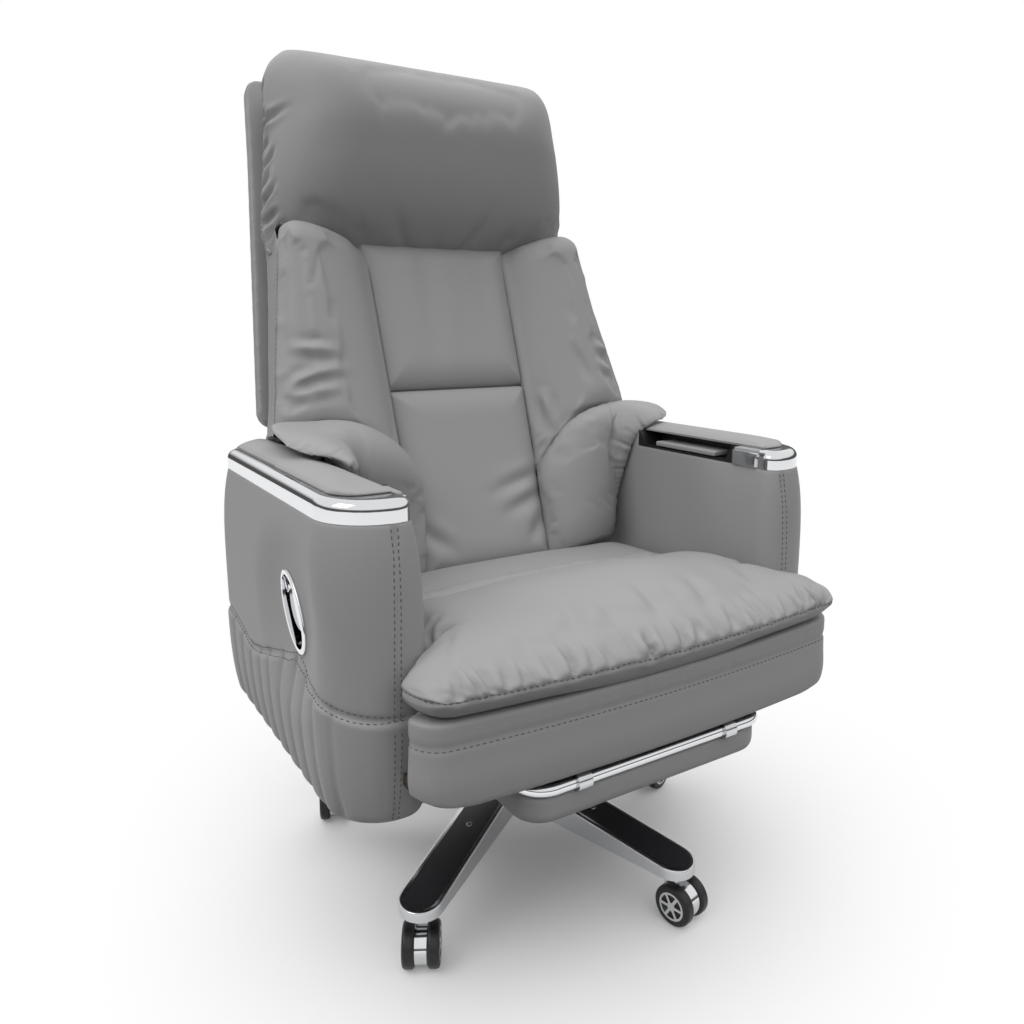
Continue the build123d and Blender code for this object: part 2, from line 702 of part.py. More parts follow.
with BuildPart() as seat_cushion:
    with BuildSketch(Plane.YZ):
        with BuildLine():
            Line((CUSHION_REAR, box_top), (CUSHION_REAR, box_top + CUSHION_REAR_HEIGHT))
            Spline(
                (CUSHION_REAR, box_top + CUSHION_REAR_HEIGHT),
                (CUSHION_FOLD, box_top + CUSHION_REAR_HEIGHT + CUSHION_FOLD_RISE),
                ((CUSHION_FOLD + SEAT_FRONT) / 2, box_top + CUSHION_CROWN),
                (SEAT_FRONT, box_top + CUSHION_REAR_HEIGHT + CUSHION_BROW_RISE),
                (SEAT_FRONT - CUSHION_NOSE, box_top + CUSHION_REAR_HEIGHT / 2),
                (SEAT_FRONT + CUSHION_NOSE, box_top),
                tangents=((-1, 0), (1, 0)),
            )
            Line((SEAT_FRONT + CUSHION_NOSE, box_top), (CUSHION_REAR, box_top))
        make_face()
    extrude(amount=CUSHION_TIP_HALF, both=True)
    extrude(
        to_extrude=seat_outline(
            box_top,
            SEAT_FRONT - 2 * CUSHION_NOSE,
            CUSHION_TIP_HALF,
            seat_half,
            CUSHION_REAR,
            CUSHION_CORNER + CUSHION_NOSE,
        ),
        amount=2 * CUSHION_CROWN,
        mode=Mode.INTERSECT,
    )
write(seat_cushion.part, "seat_cushion")

# Angle brackets that carry the arms on the seat board, and their bolts
bracket_bottom = BOARD_BOTTOM - BRACKET_THICKNESS
bracket_top = bracket_bottom + BRACKET_HEIGHT
bracket_inner = ARM_INNER - BRACKET_THICKNESS
with BuildPart() as arm_brackets:
    for bracket_y in BRACKET_PLACES:
        with BuildSketch(Plane.XZ.offset(-bracket_y)):
            for side in (-1, 1):
                with BuildLine():
                    Polyline(
                        (side * ARM_INNER, bracket_bottom),
                        (side * ARM_INNER, bracket_top),
                        (side * bracket_inner, bracket_top),
                        (side * bracket_inner, BOARD_BOTTOM),
                        (side * (ARM_INNER - BRACKET_FOOT), BOARD_BOTTOM),
                        (side * (ARM_INNER - BRACKET_FOOT), bracket_bottom),
                        close=True,
                    )
                make_face()
        extrude(amount=BRACKET_WIDTH / 2, both=True)
write(arm_brackets.part, "arm_brackets")

with BuildPart() as arm_bolts:
    for side in (-1, 1):
        bolt_plane = Plane(
            origin=(side * bracket_inner, 0, BOARD_BOTTOM + BRACKET_HEIGHT / 2),
            x_dir=(0, 1, 0),
            z_dir=(-side, 0, 0),
        )
        with BuildSketch(bolt_plane):
            with Locations(*[(bracket_y, 0) for bracket_y in BRACKET_PLACES]):
                RegularPolygon(BOLT_HEAD_RADIUS, 6)
        extrude(amount=BOLT_HEAD)
write(arm_bolts.part, "arm_bolts")


# Arms: a tall padded body, a metal trim round the outer top edge, a pad, and a pocket under the pad
def arm_outline(level):
    """Plan of the left arm with its four rounded corners."""
    with BuildSketch(Plane.XY.offset(level)) as outline:
        with BuildLine():
            Polyline(
                (ARM_INNER, ARM_FRONT),
                (arm_outer, ARM_FRONT),
                (arm_outer, ARM_REAR),
                (ARM_INNER, ARM_REAR),
                close=True,
            )
        make_face()
        fillet(outline.vertices().group_by(Axis.Y)[0].sort_by(Axis.X)[-1], ARM_OUTER_CORNER)
        fillet(outline.vertices().group_by(Axis.Y)[0].sort_by(Axis.X)[0], ARM_INNER_CORNER)
        fillet(outline.vertices().group_by(Axis.Y)[-1].sort_by(Axis.X)[-1], ARM_REAR_CORNER)
    return outline.sketch


def pad_outline(level, inset):
    """Plan of the left arm inside the trim, where the pad lies."""
    with BuildSketch(Plane.XY.offset(level)) as outline:
        with BuildLine():
            Polyline(
                (ARM_INNER - ARM_WIDTH, ARM_FRONT + TRIM_CAP + inset),
                (arm_outer - TRIM_BAND - inset, ARM_FRONT + TRIM_CAP + inset),
                (arm_outer - TRIM_BAND - inset, ARM_REAR + ARM_WIDTH),
                (ARM_INNER - ARM_WIDTH, ARM_REAR + ARM_WIDTH),
                close=True,
            )
        make_face()
        fillet(outline.vertices().group_by(Axis.Y)[0].sort_by(Axis.X)[-1], ARM_OUTER_CORNER - TRIM_CAP)
    return outline.sketch


trim_face = arm_outline(trim_bottom) - pad_outline(trim_bottom, 0)
with BuildPart() as arm_body:
    extrude(to_extrude=arm_outline(ARM_BOTTOM), amount=ARM_TOP - ARM_BOTTOM)
    fillet(arm_body.faces().sort_by(Axis.Z)[0].edges(), ARM_BOTTOM_EDGE)
    extrude(to_extrude=trim_face, amount=TRIM_HEIGHT, mode=Mode.SUBTRACT)
    with BuildSketch(Plane.XY.offset(ARM_WALL_TOP)):
        with Locations((ARM_INNER, pocket_front)):
            Rectangle(POCKET_REACH, POCKET_LENGTH, align=(Align.MIN, Align.MIN))
    extrude(amount=ARM_TOP - ARM_WALL_TOP, mode=Mode.SUBTRACT)

with BuildPart() as arm_trim:
    extrude(to_extrude=trim_face, amount=TRIM_HEIGHT)
    rim_face = arm_trim.faces().filter_by(Axis.Z).sort_by(Axis.Z)[-1]
    outer_rim = rim_face.edges().filter_by(
        lambda edge: edge.center().X > arm_outer - TRIM_BAND
        or edge.center().Y < ARM_FRONT + TRIM_CAP / 2
    )
    fillet(outer_rim, TRIM_ROUND)
write_pair(arm_trim.part, "arm_trim")

with BuildPart() as arm_pad:
    with BuildSketch(Plane.XY.offset(ARM_TOP)) as pad_plan:
        add(arm_outline(0))
        add(pad_outline(0, PLAY), mode=Mode.INTERSECT)
        with Locations((0, ARM_REAR - PAD_REAR_GAP)):
            Rectangle(2 * arm_outer, ARM_WIDTH, align=(Align.CENTER, Align.MIN), mode=Mode.SUBTRACT)
    extrude(amount=PAD_THICKNESS)
    fillet(arm_pad.faces().sort_by(Axis.Z)[-1].edges(), PAD_EDGE)
write_pair(arm_pad.part, "arm_pad")

with BuildPart() as arm_pocket:
    with BuildSketch(Plane.YZ.offset(ARM_INNER)):
        with BuildLine():
            Polyline(
                (pocket_front, ARM_WALL_TOP),
                (pocket_front + POCKET_LENGTH, ARM_WALL_TOP),
                (pocket_front + POCKET_LENGTH, ARM_TOP),
                (pocket_front + POCKET_LENGTH - POCKET_WALL, ARM_TOP),
                (pocket_front + POCKET_LENGTH - POCKET_RAMP, ARM_WALL_TOP + POCKET_WALL),
                (pocket_front + POCKET_RAMP, ARM_WALL_TOP + POCKET_WALL),
                (pocket_front + POCKET_WALL, ARM_TOP),
                (pocket_front, ARM_TOP),
                close=True,
            )
        make_face()
    extrude(amount=POCKET_REACH)
    with BuildSketch(Plane.YZ.offset(ARM_INNER + POCKET_REACH - POCKET_WALL)):
        with Locations((pocket_front, ARM_WALL_TOP)):
            Rectangle(POCKET_LENGTH, ARM_TOP - ARM_WALL_TOP, align=(Align.MIN, Align.MIN))
    extrude(amount=POCKET_WALL)
write_pair(arm_pocket.part, "arm_pocket")

# Recline pull: an oval cup in the right arm's outer face with a hinged paddle
lean = math.radians(PULL_LEAN)
pull_plane = Plane(
    origin=(-arm_outer, PULL_Y, PULL_Z),
    x_dir=(0, math.sin(lean), math.cos(lean)),
    z_dir=(-1, 0, 0),
)
cup_length = PULL_LENGTH / 2 - PULL_RIM
cup_width = PULL_WIDTH / 2 - PULL_RIM
pin_half = cup_width * math.sqrt(1 - (PADDLE_PIVOT / cup_length) ** 2) + PULL_WALL / 2
knuckle_plane = Plane(
    origin=pull_plane.from_local_coords(Vector(PADDLE_PIVOT, 0, -PADDLE_SINK)),
    x_dir=pull_plane.x_dir,
    z_dir=pull_plane.y_dir,
)
with BuildPart() as arm_body_right:
    add(mirror(arm_body.part, about=Plane.YZ, mode=Mode.PRIVATE))
    with BuildSketch(pull_plane):
        Ellipse(cup_length + PULL_WALL, cup_width + PULL_WALL)
    extrude(amount=-PULL_DEPTH - PULL_WALL, mode=Mode.SUBTRACT)
write(arm_body_right.part, "arm_body_right")
write(arm_body.part, "arm_body_left")

with BuildPart() as pull_bezel:
    with BuildSketch(pull_plane):
        Ellipse(PULL_LENGTH / 2, PULL_WIDTH / 2)
    extrude(amount=PULL_PROUD)
    fillet(pull_bezel.faces().sort_by(Axis.X)[0].edges(), PULL_PROUD / 2)
    with BuildSketch(pull_plane):
        Ellipse(cup_length + PULL_WALL, cup_width + PULL_WALL)
    extrude(amount=-PULL_DEPTH - PULL_WALL)
    with BuildSketch(pull_plane.offset(PULL_PROUD)):
        Ellipse(cup_length, cup_width)
    extrude(amount=-PULL_PROUD - PULL_DEPTH, mode=Mode.SUBTRACT)
    with BuildSketch(knuckle_plane):
        Circle(PULL_PIN)
    extrude(amount=pin_half, both=True)
write(pull_bezel.part, "pull_bezel")

blade_base = -PADDLE_SINK - PULL_BLADE / 2
with BuildPart() as pull_paddle:
    with BuildSketch(pull_plane.offset(blade_base)):
        with BuildLine():
            blade_start = (PADDLE_PIVOT, PULL_KNUCKLE)
            Line((PADDLE_PIVOT, -PULL_KNUCKLE), blade_start)
            ThreePointArc(
                blade_start,
                (PADDLE_PIVOT - PULL_BLADE_REACH / 2, PULL_BLADE_HALF),
                (PADDLE_PIVOT - PULL_BLADE_REACH, 0),
            )
            ThreePointArc(
                (PADDLE_PIVOT - PULL_BLADE_REACH, 0),
                (PADDLE_PIVOT - PULL_BLADE_REACH / 2, -PULL_BLADE_HALF),
                (PADDLE_PIVOT, -PULL_KNUCKLE),
            )
        make_face()
    extrude(amount=PULL_BLADE)
    with BuildSketch(knuckle_plane):
        Circle(PULL_KNUCKLE)
    extrude(amount=PULL_KNUCKLE, both=True)
    with BuildSketch(knuckle_plane):
        Circle(PULL_PIN + RUNNING_GAP)
    extrude(amount=cup_width, both=True, mode=Mode.SUBTRACT)
write(pull_paddle.part, "pull_paddle")

# Recliner hinge: seat plates, a cross shaft, and back plates with straps that rise behind the back
with BuildPart() as seat_plates:
    for side in (-1, 1):
        outward = Align.MAX if side > 0 else Align.MIN
        plate_plane = Plane.YZ.offset(side * SEAT_PLATE_PLACE)
        with BuildSketch(plate_plane):
            with BuildLine():
                Polyline(
                    (SEAT_REAR + PLAY, BOARD_BOTTOM - FLANGE_THICKNESS),
                    (PIVOT_Y, BOARD_BOTTOM - FLANGE_THICKNESS),
                    (PIVOT_Y + DISC_RADIUS, PIVOT_Z),
                    (PIVOT_Y, PIVOT_Z + DISC_RADIUS),
                    (SEAT_REAR + PLAY, BOARD_BOTTOM + DISC_RADIUS),
                    close=True,
                )
            make_face()
            with Locations((PIVOT_Y, PIVOT_Z)):
                Circle(DISC_RADIUS)
                Circle(SHAFT_RADIUS, mode=Mode.SUBTRACT)
        extrude(amount=side * HINGE_PLATE)
        with BuildSketch(Plane.XY.offset(BOARD_BOTTOM - FLANGE_THICKNESS)):
            with Locations((side * (SEAT_PLATE_PLACE + HINGE_PLATE), SEAT_REAR + PLAY)):
                Rectangle(SEAT_FLANGE_WIDTH, SEAT_FLANGE_LENGTH, align=(outward, Align.MAX))
        extrude(amount=FLANGE_THICKNESS)
write(seat_plates.part, "recliner_seat_plates")

back_plate_place = SEAT_PLATE_PLACE + HINGE_PLATE + HINGE_SIDE_GAP
with BuildPart() as back_plates:
    for side in (-1, 1):
        outward = Align.MAX if side > 0 else Align.MIN
        pivot_local = back_plane.to_local_coords(Vector(0, PIVOT_Y, PIVOT_Z))
        disc_plane = Plane.YZ.offset(side * back_plate_place)
        with BuildSketch(disc_plane):
            with Locations((PIVOT_Y, PIVOT_Z)):
                Circle(DISC_RADIUS - PLAY)
        extrude(amount=side * HINGE_PLATE)
        strap_plane = back_plane.offset(back_board_rear - STRAP_DEPTH)
        with BuildSketch(strap_plane):
            with Locations((side * (back_plate_place + HINGE_PLATE), pivot_local.Y)):
                Rectangle(HINGE_PLATE, STRAP_END - pivot_local.Y, align=(outward, Align.MIN))
        extrude(amount=STRAP_DEPTH)
        with BuildSketch(back_plane.offset(back_board_rear - FLANGE_THICKNESS)):
            with Locations((side * (back_plate_place + HINGE_PLATE), CENTRE_START)):
                Rectangle(STRAP_FLANGE, STRAP_END - CENTRE_START, align=(outward, Align.MIN))
        extrude(amount=FLANGE_THICKNESS)
    with BuildSketch(Plane.YZ):
        with Locations((PIVOT_Y, PIVOT_Z)):
            Circle(SHAFT_RADIUS + RUNNING_GAP)
    extrude(amount=arm_outer, both=True, mode=Mode.SUBTRACT)
write(back_plates.part, "recliner_back_plates")

shaft_half = back_plate_place + HINGE_PLATE + PLAY
with BuildPart() as shaft:
    with BuildSketch(Plane.YZ):
        with Locations((PIVOT_Y, PIVOT_Z)):
            Circle(SHAFT_RADIUS)
    extrude(amount=shaft_half + SHAFT_NUT_HEIGHT, both=True)
    for side in (-1, 1):
        with BuildSketch(Plane.YZ.offset(side * shaft_half)):
            with Locations((PIVOT_Y, PIVOT_Z)):
                RegularPolygon(SHAFT_NUT, 6)
        extrude(amount=side * SHAFT_NUT_HEIGHT)
write(shaft.part, "recliner_shaft")

# Back: a ribbed board, a stitched rear shell, two centre pads, two wings, two lobes and a head pillow
board_length = BACK_BOARD_END - CENTRE_START
with BuildPart() as back_board:
    with BuildSketch(back_plane.offset(back_board_rear)):
        with Locations((0, CENTRE_START)):
            Rectangle(2 * BACK_BOARD_HALF, board_length, align=(Align.CENTER, Align.MIN))
    extrude(amount=BACK_BOARD_THICKNESS)
    with BuildSketch(back_plane.offset(shell_front)):
        with Locations((RIB_PLACE, CENTRE_START), (-RIB_PLACE, CENTRE_START)):
            Rectangle(RIB_WIDTH, board_length, align=(Align.CENTER, Align.MIN))
    extrude(amount=RIB_THICKNESS)
write(back_board.part, "back_board")

with BuildPart() as back_shell:
    with BuildSketch(back_plane.offset(shell_front - SHELL_THICKNESS)) as shell_face:
        with BuildLine():
            Polyline(
                (-SHELL_FOOT_HALF, CENTRE_START),
                (SHELL_FOOT_HALF, CENTRE_START),
                (SHELL_FOOT_HALF, SHELL_WIDE_START - SHELL_WIDE_CORNER),
                (SHELL_WIDE_HALF, SHELL_WIDE_START),
                (SHELL_TOP_HALF, SHELL_END),
                (-SHELL_TOP_HALF, SHELL_END),
                (-SHELL_WIDE_HALF, SHELL_WIDE_START),
                (-SHELL_FOOT_HALF, SHELL_WIDE_START - SHELL_WIDE_CORNER),
                close=True,
            )
        make_face()
        fillet(shell_face.vertices().group_by(Axis.Y)[-1], SHELL_TOP_CORNER)
        fillet(shell_face.vertices().sort_by(Axis.X)[0], SHELL_WIDE_CORNER)
        fillet(shell_face.vertices().sort_by(Axis.X)[-1], SHELL_WIDE_CORNER)
    extrude(amount=SHELL_THICKNESS)
    rear_face = back_shell.faces().filter_by(back_plane).sort_by(Axis.Y)[-1]
    fillet(rear_face.edges(), SHELL_EDGE)
write(back_shell.part, "back_shell")


def centre_pad(start, end):
    """One of the two centre panels between distances along the back."""
    with BuildPart() as panel:
        with BuildSketch(back_plane.offset(-PAD_DEPTH)):
            with BuildLine():
                Polyline(
                    (-centre_half(start), start),
                    (centre_half(start), start),
                    (centre_half(end), end),
                    (-centre_half(end), end),
                    close=True,
                )
            make_face()
        extrude(amount=PAD_DEPTH)
        front_face = panel.faces().filter_by(back_plane).sort_by(Axis.Y)[0]
        fillet(front_face.edges(), CENTRE_EDGE)
    return panel.part


write(centre_pad(CENTRE_START, CENTRE_MIDDLE - SEAM), "back_pad_lower")
write(centre_pad(CENTRE_MIDDLE, CENTRE_END), "back_pad_upper")

with BuildPart() as wing:
    with BuildSketch(back_plane.offset(-PAD_DEPTH)):
        with BuildLine():
            root = (centre_half(LOBE_ROOT) + SEAM, LOBE_ROOT)
            crown = (centre_half(CENTRE_END) + SEAM, CENTRE_END)
            low = (WING_LOW_HALF, WING_LOW)
            Line(root, crown)
            ThreePointArc(
                crown, ((crown[0] + WING_TOP_HALF) / 2, WING_TOP), (WING_TOP_HALF, CENTRE_END)
            )
            Line((WING_TOP_HALF, CENTRE_END), low)
            ThreePointArc(low, (LOBE_CREST_HALF, LOBE_CREST), root)
        make_face()
    extrude(amount=PAD_DEPTH + WING_PROUD)
    wing_face = wing.faces().filter_by(back_plane).sort_by(Axis.Y)[0]
    fillet(wing_face.edges().filter_by(GeomType.LINE), WING_EDGE)
    with BuildSketch(back_plane.offset(-PAD_DEPTH)):
        with Locations((0, HEAD_START - SEAM)):
            Rectangle(2 * arm_outer, HEAD_END, align=(Align.CENTER, Align.MIN))
    extrude(amount=PAD_DEPTH + 2 * WING_PROUD, mode=Mode.SUBTRACT)
write_pair(wing.part, "wing")

flap_bottom = pad_top + FLAP_GAP
with BuildPart() as flap:
    with BuildSketch(Plane.XY.offset(flap_bottom)):
        with Locations((FLAP_HALF, FLAP_REAR)):
            Rectangle(FLAP_HALF - FLAP_INNER, FLAP_REAR - FLAP_FRONT, align=(Align.MAX, Align.MAX))
    extrude(amount=FLAP_THICKNESS)
    fillet(flap.edges().filter_by(Axis.Z).group_by(Axis.X)[-1], FLAP_CORNER)
    fillet(flap.edges().group_by(Axis.Z)[-1] + flap.edges().group_by(Axis.Z)[0], FLAP_EDGE)

with BuildPart() as lobe:
    with BuildSketch(back_plane.offset(-PAD_DEPTH)) as lobe_face:
        with BuildLine():
            inner_foot = (centre_half(LOBE_FOOT) + SEAM, LOBE_FOOT)
            inner_root = (centre_half(LOBE_ROOT) + SEAM, LOBE_ROOT)
            outer_top = (LOBE_HALF, WING_LOW)
            Polyline(inner_root, inner_foot, (LOBE_HALF, LOBE_FOOT), outer_top)
            ThreePointArc(outer_top, (LOBE_CREST_HALF, LOBE_CREST), inner_root)
        make_face()
    extrude(amount=PAD_DEPTH + LOBE_PROUD)
    lobe_front = lobe.faces().filter_by(back_plane).sort_by(Axis.Y)[0]
    fillet(lobe_front.edges().sort_by(Axis.Z)[0], LOBE_EDGE)
    add(flap.part)
    add(wing.part, mode=Mode.SUBTRACT)
write_pair(lobe.part, "lobe")

# Head pillow: an overhanging roll, rounded most along its brow and less under its chin
with BuildPart() as head_pillow:
    with BuildSketch(back_plane.offset(-PAD_DEPTH)):
        with BuildLine():
            Polyline(
                (-HEAD_FOOT_HALF, HEAD_START),
                (HEAD_FOOT_HALF, HEAD_START),
                (HEAD_TOP_HALF, HEAD_END),
                (-HEAD_TOP_HALF, HEAD_END),
                close=True,
            )
        make_face()
    extrude(amount=PAD_DEPTH + HEAD_PROUD)
    pillow_front = head_pillow.faces().filter_by(back_plane).sort_by(Axis.Y)[0]
    brow = pillow_front.edges().filter_by(Axis.X).sort_by(Axis.Z)[-1]
    fillet(brow, HEAD_BROW_ROUND)
    pillow_front = head_pillow.faces().filter_by(back_plane).sort_by(Axis.Y)[0]
    chin = pillow_front.edges().filter_by(Axis.X).sort_by(Axis.Z)[0]
    fillet(chin, HEAD_CHIN_ROUND)
    pillow_ends = head_pillow.faces().sort_by(Axis.X)
    pillow_rear = head_pillow.faces().filter_by(back_plane).sort_by(Axis.Y)[-1]
    end_edges = pillow_ends[0].edges() + pillow_ends[-1].edges()
    fillet([edge for edge in end_edges if edge not in pillow_rear.edges()], HEAD_EDGE)
write(head_pillow.part, "head_pillow")

# Footrest: a bent tube that slides in two rails, and a padded board that turns on its front bar
with BuildPart() as footrest_rails:
    for side in (-1, 1):
        with BuildSketch(Plane.XZ.offset(-RAIL_START)):
            with Locations((side * FOOT_HALF, FOOT_BAR_Z)):
                Circle(RAIL_RADIUS)
                Rectangle(RAIL_SADDLE, BOARD_BOTTOM - FOOT_BAR_Z, align=(Align.CENTER, Align.MIN))
        extrude(amount=RAIL_START - RAIL_END)
        with BuildSketch(Plane.XZ.offset(-RAIL_START)):
            with Locations((side * FOOT_HALF, FOOT_BAR_Z)):
                Circle(FOOT_TUBE_RADIUS + RUNNING_GAP)
        extrude(amount=RAIL_START - RAIL_END, mode=Mode.SUBTRACT)
write(footrest_rails.part, "footrest_rails")

with BuildPart() as footrest_frame:
    with BuildLine():
        FilletPolyline(
            (-FOOT_HALF, FOOT_TUBE_END, FOOT_BAR_Z),
            (-FOOT_HALF, FOOT_BAR_Y, FOOT_BAR_Z),
            (FOOT_HALF, FOOT_BAR_Y, FOOT_BAR_Z),
            (FOOT_HALF, FOOT_TUBE_END, FOOT_BAR_Z),
            radius=FOOT_BEND,
        )
    tube_start = (-FOOT_HALF, FOOT_TUBE_END, FOOT_BAR_Z)
    with BuildSketch(Plane(origin=tube_start, x_dir=(1, 0, 0), z_dir=(0, -1, 0))):
        Circle(FOOT_TUBE_RADIUS)
    sweep()
write(footrest_frame.part, "footrest_frame")

clip_bottom = FOOT_BAR_Z - CLIP_RADIUS
with BuildPart() as footrest_clips:
    for side in (-1, 1):
        with BuildSketch(Plane.YZ.offset(side * CLIP_PLACE)):
            with Locations((FOOT_BAR_Y, FOOT_BAR_Z)):
                Circle(CLIP_RADIUS)
            with Locations((FOOT_BAR_Y, clip_bottom)):
                Rectangle(CLIP_TAB, CLIP_TAB_THICKNESS, align=(Align.MIN, Align.MIN))
            with Locations((FOOT_BAR_Y, FOOT_BAR_Z)):
                Circle(FOOT_TUBE_RADIUS + RUNNING_GAP, mode=Mode.SUBTRACT)
        extrude(amount=CLIP_WIDTH / 2, both=True)
write(footrest_clips.part, "footrest_clips")

foot_pad_front = FOOT_BAR_Y - FOOT_PAD_NOSE
foot_pad_middle = foot_pad_front + (FOOT_PAD_NOSE + FOOT_PAD_REACH) / 2
foot_board_bottom = clip_bottom - FOOT_BOARD_THICKNESS


def foot_outline(level, inset):
    """Plan of the footrest pad, drawn in from its edge."""
    with BuildSketch(Plane.XY.offset(level)) as outline:
        with Locations((0, foot_pad_middle)):
            RectangleRounded(
                2 * (FOOT_PAD_HALF - inset),
                FOOT_PAD_NOSE + FOOT_PAD_REACH - 2 * inset,
                FOOT_PAD_CORNER - inset,
            )
    return outline.sketch


with BuildPart() as footrest_board:
    extrude(to_extrude=foot_outline(foot_board_bottom, FOOT_BOARD_INSET), amount=FOOT_BOARD_THICKNESS)
write(footrest_board.part, "footrest_board")

# The pad wraps the board's edge
with BuildPart() as footrest_pad:
    extrude(
        to_extrude=foot_outline(foot_board_bottom - FOOT_PAD_DEPTH, 0),
        amount=FOOT_PAD_DEPTH + FOOT_BOARD_THICKNESS,
    )
    fillet(footrest_pad.faces().sort_by(Axis.Z)[0].edges(), FOOT_PAD_EDGE)
    extrude(
        to_extrude=foot_outline(foot_board_bottom, FOOT_BOARD_INSET - SEAM),
        amount=FOOT_BOARD_THICKNESS,
        mode=Mode.SUBTRACT,
    )
write(footrest_pad.part, "footrest_pad")
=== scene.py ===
"""Looks of a grey leather executive recliner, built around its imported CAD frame."""

import logging
import math
from dataclasses import dataclass
from enum import Enum
from typing import Callable, Iterable, Sequence

import bpy
import numpy as np
from mathutils import Matrix, Vector


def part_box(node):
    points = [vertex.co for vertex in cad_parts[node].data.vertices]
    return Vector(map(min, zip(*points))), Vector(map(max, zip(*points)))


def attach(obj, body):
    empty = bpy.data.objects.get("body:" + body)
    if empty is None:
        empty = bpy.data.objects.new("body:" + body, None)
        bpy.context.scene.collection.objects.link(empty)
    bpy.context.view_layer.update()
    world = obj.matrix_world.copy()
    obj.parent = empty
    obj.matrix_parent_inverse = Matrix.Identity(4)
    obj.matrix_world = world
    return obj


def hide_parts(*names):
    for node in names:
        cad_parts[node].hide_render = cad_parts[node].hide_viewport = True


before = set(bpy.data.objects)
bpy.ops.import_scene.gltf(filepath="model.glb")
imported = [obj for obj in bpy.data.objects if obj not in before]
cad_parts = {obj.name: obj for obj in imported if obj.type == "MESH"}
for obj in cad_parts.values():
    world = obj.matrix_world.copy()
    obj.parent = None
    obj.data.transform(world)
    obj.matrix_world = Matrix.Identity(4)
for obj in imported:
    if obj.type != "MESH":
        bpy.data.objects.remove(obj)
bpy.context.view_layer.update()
LOG = logging.getLogger("recliner")
MM = 0.001
FILL_FRAMES = 18
FILL_PRESSURE = 3.0
FILL_SLACK = 0.04


class Side(Enum):
    """The sitter's two sides, with the sign of x on each."""

    RIGHT = -1
    LEFT = 1

    @property
    def word(self) -> str:
        """The side's name as CAD nodes write it."""
        return self.name.lower()


# Numbers and lines


def linear(code: str) -> tuple[float, float, float, float]:
    """Turn an sRGB hex colour into linear RGBA.

    Args:
        code: Six hex digits.
    Returns:
        Linear red, green, blue and an alpha of one.
    """
    parts = [int(code[k : k + 2], 16) / 255 for k in (0, 2, 4)]
    red, green, blue = (p / 12.92 if p <= 0.04045 else ((p + 0.055) / 1.055) ** 2.4 for p in parts)
    return red, green, blue, 1.0


def ease(share: np.ndarray) -> np.ndarray:
    """Smooth step of a share held between zero and one.

    Args:
        share: Any numbers.
    Returns:
        Numbers from zero to one with flat ends.
    """
    held = np.clip(share, 0, 1)
    return held * held * (3 - 2 * held)


def bulge(
    inside: np.ndarray,
    reach: float | np.ndarray,
    roundness: float = 2.2,
    lift: float | np.ndarray = 0.55,
) -> np.ndarray:
    """Height share of a stuffed edge at a distance inside its seam.

    Args:
        inside: Distance from the seam in mm.
        reach: Distance at which the full height is met.
        roundness: Power of the falling side.
        lift: Power of the rising side: a half gives an upright edge.
    Returns:
        Shares from zero at the seam to one.
    """
    share = np.clip(inside / reach, 0, 1)
    return (1 - (1 - share) ** roundness) ** lift


def crowded(count: int, share: float) -> np.ndarray:
    """Places from minus one to one that lie closer together at both ends.

    Args:
        count: How many places.
        share: Share of a half turn that they are taken from: one crowds them most.
    Returns:
        The places.
    """
    return np.sin(np.linspace(-1, 1, count) * math.pi / 2 * share) / math.sin(math.pi / 2 * share)


def run_along(line: np.ndarray) -> np.ndarray:
    """How far each point of a line is from its start.

    Args:
        line: Points of the line.
    Returns:
        One distance per point.
    """
    return np.concatenate([[0], np.cumsum(np.linalg.norm(np.diff(line, axis=0), axis=1))])


def length_of(path: np.ndarray) -> float:
    """Length of a path.

    Args:
        path: Points of the path.
    Returns:
        The length.
    """
    return float(np.linalg.norm(np.diff(path, axis=0), axis=1).sum())


def quarter(middle: float, front: float, radius: float, count: int) -> np.ndarray:
    """A rounded corner between an outer side and a front, seen from above.

    Args:
        middle: Distance across of its centre in mm.
        front: Place of the front.
        radius: The corner's radius.
        count: How many points it has.
    Returns:
        Points (x, y).
    """
    turn = np.linspace(0, math.pi / 2, count)
    return np.column_stack([middle + radius * np.cos(turn), front + radius * (1 - np.sin(turn))])


def rim_of(panel: np.ndarray) -> np.ndarray:
    """The closed rim of a panel.

    Args:
        panel: Points by row and column.
    Returns:
        The rim's points, each once but for the last, which is the first again.
    """
    return np.concatenate([panel[0], panel[1:, -1], panel[-1, ::-1][1:], panel[::-1, 0][1:]])


def resample(line: np.ndarray, count: int) -> np.ndarray:
    """Points at even steps along a line.

    Args:
        line: Points of the line.
        count: How many points are wanted.
    Returns:
        The points.
    """
    run = run_along(line)
    places = np.linspace(0, run[-1], count)
    return np.stack([np.interp(places, run, line[:, k]) for k in range(line.shape[1])], 1)


def spline(points: Sequence[Sequence[float]], count: int) -> np.ndarray:
    """A smooth line through points, in even steps.

    Args:
        points: The points that it goes through.
        count: How many points the line has.
    Returns:
        The line.
    """
    given = np.asarray(points, float)
    given = np.vstack([2 * given[0] - given[1], given, 2 * given[-1] - given[-2]])
    share = np.linspace(0, 1, 16, endpoint=False)[:, None]
    parts = []
    for before, start, end, after in zip(given[:-3], given[1:-2], given[2:-1], given[3:]):
        bend = 2 * before - 5 * start + 4 * end - after
        twist = 3 * start - before - 3 * end + after
        parts.append(start + 0.5 * ((end - before) * share + bend * share**2 + twist * share**3))
    return resample(np.vstack([*parts, given[-2:-1]]), count)


